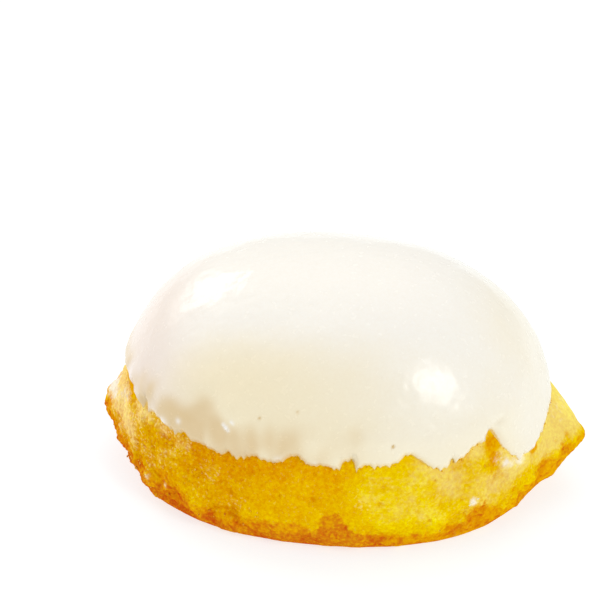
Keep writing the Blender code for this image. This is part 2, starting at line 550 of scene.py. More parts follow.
class Graph:
    """Adds nodes to a node tree and links them."""

    def __init__(self, tree: bpy.types.NodeTree) -> None:
        """Start from a tree.

        Args:
            tree: The tree of a material or a node group.
        """
        self.tree = tree

    def put(self, socket: bpy.types.NodeSocket, value: object) -> None:
        """Link a socket to another, or set its value.

        Args:
            socket: The input to feed.
            value: An output socket, a number or a tuple.
        """
        if isinstance(value, bpy.types.NodeSocket):
            self.tree.links.new(value, socket)
        else:
            socket.default_value = value

    def node(self, kind: str, **inputs: object) -> bpy.types.Node:
        """Add a node.

        Args:
            kind: Its type name.
            inputs: Values or sockets for its inputs, by name with _ for each blank.

        Returns:
            The node.
        """
        node = self.tree.nodes.new(kind)
        for name, value in inputs.items():
            self.put(node.inputs[name.replace("_", " ")], value)
        return node

    def math(self, operation: str, first: object, second: object) -> bpy.types.NodeSocket:
        """The result of a Math node.

        Args:
            operation: The node's operation.
            first: A number or a socket.
            second: A number or a socket.

        Returns:
            The result's socket.
        """
        node = self.tree.nodes.new("ShaderNodeMath")
        node.operation = operation
        self.put(node.inputs[0], first)
        self.put(node.inputs[1], second)
        return node.outputs[0]

    def add(self, first: object, second: object) -> bpy.types.NodeSocket:
        """The sum of two numbers or sockets."""
        return self.math("ADD", first, second)

    def subtract(self, first: object, second: object) -> bpy.types.NodeSocket:
        """What is left of the first after taking away the second."""
        return self.math("SUBTRACT", first, second)

    def multiply(self, first: object, second: object) -> bpy.types.NodeSocket:
        """The product of two numbers or sockets."""
        return self.math("MULTIPLY", first, second)

    def mix(self, factor: object, first: object, second: object) -> bpy.types.NodeSocket:
        """A colour between two others.

        Args:
            factor: 0 for the first and 1 for the second.
            first: A colour or a socket.
            second: A colour or a socket.

        Returns:
            The mixed colour's socket.
        """
        node = self.tree.nodes.new("ShaderNodeMix")
        node.data_type = "RGBA"
        self.put(node.inputs[MIX_FACTOR], factor)
        self.put(node.inputs[MIX_FIRST], first)
        self.put(node.inputs[MIX_SECOND], second)
        return node.outputs[MIX_RESULT]

    def group(self, tree: bpy.types.NodeTree, output: str, **inputs: object) -> bpy.types.NodeSocket:
        """Place a node group.

        Args:
            tree: The group.
            output: The name of the output that is wanted.
            inputs: Values or sockets for its inputs, by name.

        Returns:
            The output's socket.
        """
        node = self.tree.nodes.new("ShaderNodeGroup")
        node.node_tree = tree
        for name, value in inputs.items():
            self.put(node.inputs[name], value)
        return node.outputs[output]

    def mask(self, name: str) -> bpy.types.NodeSocket:
        """A mask stored at the mesh's vertices.

        Args:
            name: The mask's name.

        Returns:
            Its value's socket.
        """
        node = self.tree.nodes.new("ShaderNodeAttribute")
        node.attribute_name = name
        return node.outputs["Fac"]

    def bump(self, height: object, depth: float) -> bpy.types.NodeSocket:
        """The normal over bumps whose height runs from 0 to 1, with their depth in metres."""
        node = self.node("ShaderNodeBump", Height=height, Strength=1.0, Distance=depth)
        return node.outputs["Normal"]


@dataclass(frozen=True)
class Mottle:
    """Blotches of one width, in millimetres, as the group "mottle" takes them.

    The contrast is a factor on their spread about a half, the detail counts octaves of finer
    blotches, and the flatness is how many times wider than high a blotch is.
    """

    width: float
    seed: float
    contrast: float = 1.0
    detail: float = 2.0
    flatness: float = 1.0


@dataclass(frozen=True)
class Breakup:
    """How far a mottle pushes a mask's edge, and half the width of the new edge."""

    amount: float
    softness: float


class NodeGroups:
    """The effects that more than one material uses, each built once."""

    def __init__(self) -> None:
        """Build the groups."""
        self.mottle_tree = self.build_mottle()
        self.ragged_tree = self.build_ragged()

    @staticmethod
    def start(name: str, inputs: dict[str, float], output: str) -> tuple:
        """Make an empty group.

        Args:
            name: The group's name.
            inputs: Its number inputs and their values at first.
            output: Its number output.

        Returns:
            The group's tree, its graph, its inputs' sockets and its output's socket.
        """
        tree = bpy.data.node_groups.new(name, "ShaderNodeTree")
        for socket, value in inputs.items():
            made = tree.interface.new_socket(socket, in_out="INPUT", socket_type="NodeSocketFloat")
            made.default_value = value
        tree.interface.new_socket(output, in_out="OUTPUT", socket_type="NodeSocketFloat")
        graph = Graph(tree)
        given = tree.nodes.new("NodeGroupInput").outputs
        return tree, graph, given, tree.nodes.new("NodeGroupOutput").inputs[output]

    def build_mottle(self) -> bpy.types.NodeTree:
        """Blotches of one width, in object space, from 0 to 1 with a mean of a half."""
        sizes = {"Width": 1.0, "Seed": 0.0, "Detail": 2.0, "Contrast": 1.0, "Flatness": 1.0}
        tree, graph, given, result = self.start("mottle", sizes, "Value")
        place = tree.nodes.new("ShaderNodeTexCoord").outputs["Object"]
        shift = graph.multiply(given["Seed"], SEED_SHIFT)
        upward = graph.multiply(given["Flatness"], 1.0 / MM)
        scales = graph.node("ShaderNodeCombineXYZ", X=1.0 / MM, Y=1.0 / MM, Z=upward)
        offset = graph.node("ShaderNodeCombineXYZ", X=shift, Y=shift, Z=shift)
        moved = tree.nodes.new("ShaderNodeVectorMath")
        moved.operation = "MULTIPLY_ADD"
        for index, value in enumerate((place, scales.outputs[0], offset.outputs[0])):
            graph.put(moved.inputs[index], value)
        scale = graph.math("DIVIDE", 1.0, given["Width"])
        texture = graph.node("ShaderNodeTexNoise", Scale=scale, Detail=given["Detail"])
        graph.put(texture.inputs["Vector"], moved.outputs[0])
        spread = graph.multiply(graph.subtract(texture.outputs["Fac"], 0.5), given["Contrast"])
        held = graph.node("ShaderNodeClamp", Value=graph.add(spread, 0.5))
        graph.put(result, held.outputs[0])
        return tree

    def build_ragged(self) -> bpy.types.NodeTree:
        """A mask whose edge follows a mottle instead of running smooth."""
        sizes = {"Mask": 0.0, "Mottle": 0.5, "Amount": 0.5, "Softness": 0.2}
        tree, graph, given, result = self.start("ragged_edge", sizes, "Mask")
        pushed = graph.multiply(graph.subtract(given["Mottle"], 0.5), given["Amount"])
        ramp = tree.nodes.new("ShaderNodeMapRange")
        ramp.interpolation_type = "SMOOTHSTEP"
        graph.put(ramp.inputs["Value"], graph.add(given["Mask"], pushed))
        graph.put(ramp.inputs["From Min"], graph.subtract(0.5, given["Softness"]))
        graph.put(ramp.inputs["From Max"], graph.add(0.5, given["Softness"]))
        graph.put(result, ramp.outputs["Result"])
        return tree

    def mottle(self, graph: Graph, kind: Mottle) -> bpy.types.NodeSocket:
        """Place a mottle in a material.

        Args:
            graph: The material's graph.
            kind: Its blotches.

        Returns:
            Its value's socket.
        """
        return graph.group(self.mottle_tree, "Value", Width=kind.width, Seed=kind.seed,
                           Detail=kind.detail, Contrast=kind.contrast, Flatness=kind.flatness)

    def ragged(self, graph: Graph, mask: object, mottle: object,
               breakup: Breakup) -> bpy.types.NodeSocket:
        """Break up a mask's edge.

        Args:
            graph: The material's graph.
            mask: The mask, whose edge is where it is a half.
            mottle: What the edge follows.
            breakup: How much it does so.

        Returns:
            The new mask's socket.
        """
        return graph.group(self.ragged_tree, "Mask", Mask=mask, Mottle=mottle,
                           Amount=breakup.amount, Softness=breakup.softness)


def new_material(name: str) -> tuple[bpy.types.Material, Graph, bpy.types.Node]:
    """An empty Principled material.

    Args:
        name: The material's name.

    Returns:
        The material, its graph and its Principled BSDF.
    """
    material = bpy.data.materials.new(name)
    material.use_nodes = True
    return material, Graph(material.node_tree), material.node_tree.nodes["Principled BSDF"]


@dataclass(frozen=True)
class CrumbFinish:
    """Baked sponge: golden skin with yellow and pale patches, pores and a browned foot, with painted
    shade in its pits, hollows and below the icing, and painted light on its humps.
    """

    groups: NodeGroups
    gain: float = 1.04
    golden: Colour = Colour(226, 168, 0)
    # A deeper orange of the skin, also used as painted shade below the icing's edge and its lobe.
    deep_and_shade: Colour = Colour(222, 152, 0)
    yellow: Colour = Colour(232, 193, 0)
    pale: Colour = Colour(245, 226, 146)
    warm_pale: Colour = Colour(248, 212, 136)
    crust: Colour = Colour(224, 148, 6)
    dark_crust: Colour = Colour(206, 106, 16)
    shaded: Colour = Colour(216, 144, 0)
    smeared: Colour = Colour(250, 238, 214)
    roughness: float = 0.9
    specular: float = 0.0
    # Patterns of the skin, the foot and the grain.
    wide: Mottle = Mottle(5.0, 1.0, 1.4)
    streaks: Mottle = Mottle(2.6, 2.0, 2.0, 4.0, 1.5)
    small: Mottle = Mottle(1.1, 5.0, 2.0, 3.0, 1.2)
    tiny: Mottle = Mottle(0.5, 31.0, 2.6, 1.0)
    smudges: Mottle = Mottle(0.8, 25.0, 2.2, 3.0)
    singes: Mottle = Mottle(1.0, 7.0, 2.2, 3.0)
    blisters: Mottle = Mottle(1.5, 11.0, 2.8, 4.0)
    gaps: Mottle = Mottle(0.7, 35.0, 2.4, 3.0)
    fine_grain: Mottle = Mottle(0.55, 3.0, 1.8)
    coarse_grain: Mottle = Mottle(1.5, 9.0, 1.5)
    coarse_bump: Mottle = Mottle(0.8, 13.0, 1.0, 4.0)
    fine_bump: Mottle = Mottle(0.35, 17.0)
    # How they break up the edges of masks.
    tone_edge: Breakup = Breakup(0.45, 0.5)
    patch_edge: Breakup = Breakup(0.5, 0.32)
    speck_edge: Breakup = Breakup(0.8, 0.2)
    fleck_edge: Breakup = Breakup(0.9, 0.2)
    smear_edge: Breakup = Breakup(0.4, 0.3)
    toasted_edge: Breakup = Breakup(0.3, 0.35)
    crust_edge: Breakup = Breakup(0.6, 0.2)
    blister_edge: Breakup = Breakup(1.0, 0.4)
    # How much of each colour shows, and how even masks stand for flecks and gaps.
    pit_shade_share: float = 0.4
    streak_share: float = 0.5
    small_share: float = 0.4
    fleck_mask: float = 0.4
    fleck_share: float = 0.25
    speck_share: float = 0.7
    speck_loss_on_yellow: float = 0.55
    toasted_share: float = 0.6
    veil_share: float = 0.48
    gap_mask: float = 0.32
    gap_share: float = 0.65
    # How the grain shifts the colour and stands out, and how far light and shade are painted by the
    # relief's height.
    coarse_share: float = 0.4
    smooth_shift: float = 0.24
    rough_shift: float = 0.18
    relief_shading_shift: float = 0.28
    hue_shift: float = 0.10
    value_shift: float = 0.5
    fine_bump_share: float = 0.4
    bump_depth: float = 0.14 * MM

    def material(self, name: str) -> bpy.types.Material:
        """Make the material.

        Args:
            name: The material's name.

        Returns:
            A material that reads every mask of the sponge's mesh.
        """
        material, graph, shader = new_material(name)
        colour = self.foot_colour(graph, self.skin_colour(graph))
        # Painted shade: pits and the hollows of the relief are darkened to the shaded colour.
        pit_shade = graph.multiply(graph.mask("pit_shade"), self.pit_shade_share)
        colour = graph.mix(pit_shade, colour, self.shaded.linear(self.gain))
        smudges = self.groups.mottle(graph, self.smudges)
        smear = self.groups.ragged(graph, graph.mask("smear"), smudges, self.smear_edge)
        colour = graph.mix(smear, colour, self.smeared.linear())
        graph.put(shader.inputs["Base Color"], self.grain_colour(graph, colour))
        shader.inputs["Roughness"].default_value = self.roughness
        shader.inputs["Specular IOR Level"].default_value = self.specular
        graph.put(shader.inputs["Normal"], self.grain_bump(graph))
        return material

    def skin_colour(self, graph: Graph) -> bpy.types.NodeSocket:
        """Colour of the skin above the foot, from golden to yellow with pale patches.

        Args:
            graph: The material's graph.

        Returns:
            The colour's socket.
        """
        groups, gain = self.groups, self.gain
        streaks = groups.mottle(graph, self.streaks)
        small = groups.mottle(graph, self.small)
        wide = groups.mottle(graph, self.wide)
        yellow = groups.ragged(graph, graph.mask("yellow"), wide, self.tone_edge)
        colour = graph.mix(yellow, self.golden.linear(gain), self.yellow.linear(gain))
        # Deep orange: deeper skin, and painted shade under the icing's edge.
        deep_and_shade = groups.ragged(graph, graph.mask("deep_and_shade"), streaks, self.tone_edge)
        colour = graph.mix(deep_and_shade, colour, self.deep_and_shade.linear(gain))
        flecks = groups.ragged(graph, self.fleck_mask, small, self.fleck_edge)
        flecks = graph.multiply(flecks, self.fleck_share)
        colour = graph.mix(flecks, colour, self.yellow.linear(gain))
        pale = graph.mix(yellow, self.warm_pale.linear(gain), self.pale.linear(gain))
        for mottle, share in ((streaks, self.streak_share), (small, self.small_share)):
            patches = groups.ragged(graph, graph.mask("pale"), mottle, self.patch_edge)
            colour = graph.mix(graph.multiply(patches, yellow), colour, self.yellow.linear(gain))
            colour = graph.mix(graph.multiply(patches, share), colour, pale)
        tiny = groups.mottle(graph, self.tiny)
        specks = groups.ragged(graph, graph.mask("pale"), tiny, self.speck_edge)
        loss = graph.multiply(yellow, self.speck_loss_on_yellow)
        specks = graph.multiply(specks, graph.subtract(self.speck_share, loss))
        return graph.mix(specks, colour, pale)

    def foot_colour(self, graph: Graph, colour: bpy.types.NodeSocket) -> bpy.types.NodeSocket:
        """Brown the foot, with darker blisters in its crust and gaps that show the skin.

        Args:
            graph: The material's graph.
            colour: The skin's colour.

        Returns:
            The colour with the crust over it.
        """
        groups, gain = self.groups, self.gain
        singes = groups.mottle(graph, self.singes)
        toasted = groups.ragged(graph, graph.mask("crust"), singes, self.toasted_edge)
        toasted = graph.multiply(toasted, self.toasted_share)
        colour = graph.mix(toasted, colour, self.crust.linear(gain))
        crust = groups.ragged(graph, graph.mask("crust"), singes, self.crust_edge)
        veil = graph.multiply(graph.mask("yellow"), self.veil_share)
        browned = graph.mix(veil, self.crust.linear(gain), self.golden.linear(gain))
        blisters = groups.mottle(graph, self.blisters)
        dark = groups.ragged(graph, graph.mask("dark"), blisters, self.blister_edge)
        browned = graph.mix(dark, browned, self.dark_crust.linear(gain))
        gaps = groups.mottle(graph, self.gaps)
        gaps = groups.ragged(graph, self.gap_mask, gaps, self.fleck_edge)
        browned = graph.mix(graph.multiply(gaps, self.gap_share), browned, colour)
        return graph.mix(crust, colour, browned)

    def grain_colour(self, graph: Graph, colour: bpy.types.NodeSocket) -> bpy.types.NodeSocket:
        """Vary a colour from crumb to crumb, most where the skin is rough, with painted light on the
        relief's humps and painted shade in its hollows.

        Args:
            graph: The material's graph.
            colour: The colour below.

        Returns:
            The colour, brighter on some crumbs and deeper between them, partly as painted light and
            shade.
        """
        fine = self.groups.mottle(graph, self.fine_grain)
        coarse = self.groups.mottle(graph, self.coarse_grain)
        grain = graph.add(fine, graph.multiply(coarse, self.coarse_share))
        centred = graph.subtract(grain, (1.0 + self.coarse_share) / 2.0)
        reach = graph.multiply(graph.mask("rough"), self.rough_shift)
        shift = graph.multiply(centred, graph.add(reach, self.smooth_shift))
        # Painted light and shade: lighter on the relief's humps, deeper in its hollows.
        relief_shading = graph.multiply(graph.subtract(graph.mask("relief_shading"), 0.5), self.relief_shading_shift)
        shift = graph.add(shift, relief_shading)
        varied = graph.node(
            "ShaderNodeHueSaturation",
            Hue=graph.add(graph.multiply(shift, self.hue_shift), 0.5),
            Value=graph.add(graph.multiply(shift, self.value_shift), 1.0),
            Color=colour,
        )
        return varied.outputs[0]

    def grain_bump(self, graph: Graph) -> bpy.types.NodeSocket:
        """Bump of the finest crumb.

        Args:
            graph: The material's graph.

        Returns:
            The normal's socket.
        """
        coarse = self.groups.mottle(graph, self.coarse_bump)
        fine = self.groups.mottle(graph, self.fine_bump)
        height = graph.add(coarse, graph.multiply(fine, self.fine_bump_share))
        return graph.bump(height, self.bump_depth)


@dataclass(frozen=True)
class IcingFinish:
    """Thick white icing, glossy, and tinted by the sponge where it is thin, with painted shade,
    painted light and painted glints in its colour.
    """

    groups: NodeGroups
    gain: float = 0.94
    white: Colour = Colour(254, 251, 243)
    # Painted rosy light on the side of the coat that faces left.
    cream_and_shade: Colour = Colour(252, 240, 207)
    # Painted warm shade on the coat's steep sides; on the dabs, their own cream tone.
    rosy_light: Colour = Colour(247, 234, 224)
    # Tan: painted shade low on the coat and in its dents, and the sponge showing through where the
    # coat is thin.
    tan: Colour = Colour(231, 205, 158)
    pinhole: Colour = Colour(206, 164, 76)
    film: Colour = Colour(240, 200, 90)
    soft: Mottle = Mottle(4.0, 19.0, 1.4, 4.0)
    haze: Mottle = Mottle(0.45, 41.0, 1.8, 3.0)
    crumbs: Mottle = Mottle(0.5, 21.0, 1.6)
    dulling: Mottle = Mottle(1.1, 23.0, 1.0, 3.0)
    wrinkle: Mottle = Mottle(0.8, 45.0, 1.4)
    tint_edge: Breakup = Breakup(0.12, 0.5)
    film_edge: Breakup = Breakup(0.5, 0.25)
    haze_share: float = 0.10
    film_share: float = 0.8
    roughness: float = 0.26
    roughness_spread: float = 0.10
    pucker_gloss: float = 0.10
    pucker_depth: float = 0.06 * MM

    def material(self, name: str) -> bpy.types.Material:
        """Make the material.

        Args:
            name: The material's name.

        Returns:
            A material that reads every mask of the coat's mesh.
        """
        material, graph, shader = new_material(name)
        graph.put(shader.inputs["Base Color"], self.colour(graph))
        spread = graph.multiply(self.groups.mottle(graph, self.dulling), self.roughness_spread)
        sheen = graph.multiply(graph.mask("pucker"), self.pucker_gloss)
        least = self.roughness - self.roughness_spread / 2.0
        graph.put(shader.inputs["Roughness"], graph.add(graph.subtract(spread, sheen), least))
        wrinkles = graph.multiply(self.groups.mottle(graph, self.wrinkle), graph.mask("pucker"))
        graph.put(shader.inputs["Normal"], graph.bump(wrinkles, self.pucker_depth))
        return material

    def colour(self, graph: Graph) -> bpy.types.NodeSocket:
        """Colour of the icing, with its tints of painted shade and light, pinholes, crumbs at the
        edge and painted glints.

        Args:
            graph: The material's graph.

        Returns:
            The colour's socket.
        """
        groups, gain = self.groups, self.gain
        soft = groups.mottle(graph, self.soft)
        colour: object = self.white.linear(gain)
        for mask, tint in (("cream_and_shade", self.cream_and_shade), ("rosy_light", self.rosy_light), ("thin_and_shade", self.tan)):
            cover = groups.ragged(graph, graph.mask(mask), soft, self.tint_edge)
            colour = graph.mix(cover, colour, tint.linear(gain))
        haze = graph.multiply(groups.mottle(graph, self.haze), self.haze_share)
        colour = graph.mix(haze, colour, self.tan.linear(gain))
        colour = graph.mix(graph.mask("hole"), colour, self.pinhole.linear(gain))
        crumbs = groups.mottle(graph, self.crumbs)
        film = groups.ragged(graph, graph.mask("film"), crumbs, self.film_edge)
        film = graph.multiply(film, self.film_share)
        colour = graph.mix(film, colour, self.film.linear(gain))
        # Painted glints: white where the gleam spots are.
        return graph.mix(graph.mask("painted_gleam"), colour, WHITE)


@dataclass(frozen=True)
class SpongeTones:
    """Where the sponge's skin is browned, yellow, deep, pale or smeared, and where shade and light
    are painted on it.

    Ramps run along the cake from the body's middle, up its side from the rim or down from the
    icing's edge, in millimetres. Shares are what each cause adds to a mask, and losses what it
    takes away.
    """

    # Along the cake, and in patches.
    right: Ramp = Ramp(-6.0, 16.0)
    left: Ramp = Ramp(-12.0, -28.0)
    near_right: Ramp = Ramp(0.0, 22.0)
    far_right: Ramp = Ramp(15.0, 25.0)
    near_left: Ramp = Ramp(-3.0, -21.0)
    far_left: Ramp = Ramp(-22.0, -30.0)
    patches: Relief = Relief(1.0, 5.5 * MM, 41.0)
    # The browned foot.
    crust_humps: tuple[Relief, ...] = (
        Relief(1.0, 4.0 * MM, 43.0),
        Relief(0.5, 1.6 * MM, 47.0),
    )
    crust_sway: float = 1.4
    crust_softness: float = 3.2
    softness_right: float = 1.3
    scorched_foot: Ramp = Ramp(-1.6, -3.6)
    scorched_side: Ramp = Ramp(14.0, 6.0)
    scorched_share: float = 0.5
    dark_loss_up: float = 0.08
    less_loss_right: float = 0.6
    # The tips.
    tip_along: Ramp = Ramp(27.0, 37.0)
    tip_sway_along: float = 7.0
    tip_up: Ramp = Ramp(1.0, 5.0)
    tip_sway_up: float = 3.0
    tip_loss_left: float = 0.2
    # Yellow, deep and pale skin.
    yellow_least: float = 0.12
    yellow_right: float = 0.75
    yellow_patches: float = 0.3
    yellow_tips: float = 0.2
    # Painted shade: the skin is deepened just below the icing's edge.
    under_edge: Ramp = Ramp(5.5, 0.0)
    stripe_x: float = 3.0
    stripe_half_width: float = 4.0
    stripe_share: float = 0.2
    deep_loss_left: float = 0.6
    pale_near_right: float = 0.26
    pale_far_right: float = 0.04
    pale_near_left: float = 0.22
    pale_far_left: float = 0.12
    pale_tips: float = 0.6
    pale_patches: float = 0.15
    patches_right: float = 0.25
    patches_left: float = 0.35
    pale_humps_left: float = 0.35
    pale_loss_deep: float = 0.4
    pale_foot: Ramp = Ramp(4.0, 0.0)
    pale_loss_foot: float = 0.22
    # What the relief adds, with painted shade in its hollows and painted light on its humps.
    hump_height: float = 1.3
    hollows: Ramp = Ramp(-0.3, -0.9)
    hollow_share: float = 0.8
    rough_left: float = 0.3
    # Single places, and the crust's rise above the rim and its darkness along the cake.
    blisters: tuple[Spot, ...] = (
        Spot(3.2, -26.5, 6.2, 2.0, 1.2),
        Spot(25.6, -18.8, 5.8, 2.2, 0.7),
        # This one paints the shadow under the icing's lobe right of the notch in crust colour.
        Spot(33.3, -9.5, 12.4, 1.1, 1.2),
        Spot(41.2, -1.2, 9.0, 1.6, 0.8),
        Spot(38.8, -4.4, 8.4, 1.8, 0.9),
        Spot(35.8, -7.8, 7.6, 1.8, 0.8),
        Spot(-36.6, -3.4, 9.8, 1.9, 1.1),
        Spot(-25.1, -19.0, 7.4, 1.6, 0.8),
    )
    # The first three paint the shadow under the icing's lobe by the notch; the others deepen the
    # colour in patches.
    shades: tuple[Spot, ...] = (
        Spot(27.2, -16.0, 17.0, 1.5, 1.2),
        Spot(27.6, -16.3, 14.4, 1.2, 1.0),
        Spot(27.4, -16.5, 12.6, 1.0, 0.6),
        Spot(3.4, -26.0, 12.0, 2.4, 0.25),
        Spot(-5.0, -26.0, 12.8, 4.5, 0.35),
        Spot(-28.6, -16.2, 8.4, 2.4, 0.5),
        Spot(-23.8, -19.6, 7.4, 2.8, 1.0),
        Spot(38.4, -3.0, 11.2, 0.8, 0.8),
    )
    pale_spots: tuple[Spot, ...] = (
        Spot(8.1, -25.9, 10.4, 2.4, 0.18),
        Spot(27.2, -16.9, 10.8, 2.6, 0.25),
        Spot(29.4, -14.4, 15.2, 2.4, 0.35),
        Spot(24.8, -17.9, 16.6, 1.8, 0.40),
        Spot(-25.3, -17.9, 15.4, 1.4, 0.45),
        Spot(-20.7, -20.8, 15.0, 1.2, 0.35),
        Spot(-35.0, -8.6, 8.6, 2.0, 0.45),
        Spot(37.0, -0.2, 13.6, 2.6, 0.35),
        Spot(36.0, -4.5, 13.0, 2.4, 0.30),
    )
    crust_line: tuple[tuple[float, float, float], ...] = (
        (-38.0, 0.6, 0.50),
        (-30.0, 0.6, 0.40),
        (-25.5, 0.9, 0.36),
        (-22.5, 1.5, 0.50),
        (-19.5, 0.0, 0.20),
        (-15.0, -1.8, 0.15),
        (-9.0, -0.4, 0.26),
        (-2.0, 0.4, 0.45),
        (2.0, 0.5, 0.90),
        (6.5, -0.1, 0.80),
        (10.3, -1.4, 0.42),
        (14.0, -2.0, 0.22),
        (19.0, -1.2, 0.12),
        (23.0, -1.7, 0.14),
        (27.0, -0.9, 0.20),
        (32.0, -0.4, 0.24),
        (38.0, -0.5, 0.28),
    )
    smears: tuple[Spot, ...] = (
        # The first five, at the left tip, whiten it where it is brightly lit, as painted highlight,
        # as well as smears of icing.
        Spot(-36.9, -1.4, 12.9, 2.0, 0.85),
        Spot(-35.2, -6.6, 14.6, 2.6, 0.42),
        Spot(-33.8, -9.6, 15.4, 2.2, 0.34),
        Spot(-37.2, 1.5, 12.9, 2.2, 0.7),
        Spot(-36.4, -4.2, 12.3, 1.5, 0.5),
        Spot(31.7, -12.6, 11.9, 1.5, 0.65),
        Spot(29.6, -14.5, 12.4, 1.3, 0.7),
        Spot(28.2, -15.6, 14.2, 1.5, 0.4),
        Spot(24.9, -19.8, 8.1, 1.1, 0.75),
        Spot(-28.4, -17.1, 5.8, 0.9, 0.5),
        Spot(-25.0, -19.6, 6.2, 0.8, 0.4),
        Spot(37.5, 3.0, 14.0, 1.6, 0.4),
        Spot(27.0, 15.9, 12.0, 1.0, 0.6),
        Spot(8.2, 25.7, 9.6, 1.2, 0.6),
        Spot(-12.5, 24.5, 14.6, 1.1, 0.6),
        Spot(36.5, -1.5, 14.5, 3.2, 0.30),
    )

    def foot(self, grid: np.ndarray, rim: np.ndarray) -> dict[str, np.ndarray]:
        """Masks of the browned foot.

        Args:
            grid: Places on the smooth skin.
            rim: Their heights above the rim, in millimetres.

        Returns:
            How far each is browned, and how dark its crust is.
        """
        x = grid[..., 0] / MM
        right = self.right.at(x)
        along, rise, darkness = zip(*self.crust_line)
        humps = sum(relief.at(grid) for relief in self.crust_humps)
        above_crust = rim - np.interp(x, along, rise) - self.crust_sway * humps
        softness = self.crust_softness + self.softness_right * right
        loss = self.dark_loss_up * rim * (1.0 - self.less_loss_right * right)
        scorched = self.scorched_foot.at(rim) * self.scorched_side.at(x)
        return {
            "crust": ease(0.5 - above_crust / softness) + total(self.blisters, grid),
            "dark": np.interp(x, along, darkness) - loss + self.scorched_share * scorched,
        }

    def skin(self, grid: np.ndarray, rim: np.ndarray, below_edge: np.ndarray,
             high: np.ndarray) -> dict[str, np.ndarray]:
        """Masks of the skin above the foot.

        Args:
            grid: Places on the smooth skin.
            rim: Their heights above the rim, in millimetres.
            below_edge: How far they lie below the icing's edge, in millimetres.
            high: How far the relief stands out there, as a share of a hump.

        Returns:
            How yellow, how deep or painted with shade, how pale and how smeared each is.
        """
        x = grid[..., 0] / MM
        right, left = self.right.at(x), self.left.at(x)
        near_right, near_left = self.near_right.at(x), self.near_left.at(x)
        patches = self.patches.at(grid)
        tips = self.tip_along.at(np.abs(x) + self.tip_sway_along * patches)
        tips = tips * self.tip_up.at(rim - self.tip_sway_up * patches)
        tips *= 1.0 - self.tip_loss_left * left
        stripe = self.stripe_share * bell((x - self.stripe_x) / self.stripe_half_width)
        deep_and_shade = self.under_edge.at(below_edge) * (1.0 - right) + stripe
        deep_and_shade = deep_and_shade * (1.0 - self.deep_loss_left * left) + total(self.shades, grid)
        along, rise, _ = zip(*self.crust_line)
        foot = self.pale_foot.at(rim - np.interp(x, along, rise))
        patchy = self.pale_patches + self.patches_right * near_right + self.patches_left * near_left
        pale = self.pale_near_right * near_right + self.pale_far_right * self.far_right.at(x)
        pale += self.pale_near_left * near_left + self.pale_far_left * self.far_left.at(x)
        # On the left the humps are painted paler, as painted light.
        pale += self.pale_tips * tips + patchy * patches + self.pale_humps_left * left * high
        pale -= self.pale_loss_deep * deep_and_shade + self.pale_loss_foot * foot
        yellow = self.yellow_least + self.yellow_right * right
        return {
            "yellow": yellow + self.yellow_patches * patches + self.yellow_tips * tips,
            "deep_and_shade": deep_and_shade,
            "pale": pale + total(self.pale_spots, grid),
            "smear": total(self.smears, grid),
        }


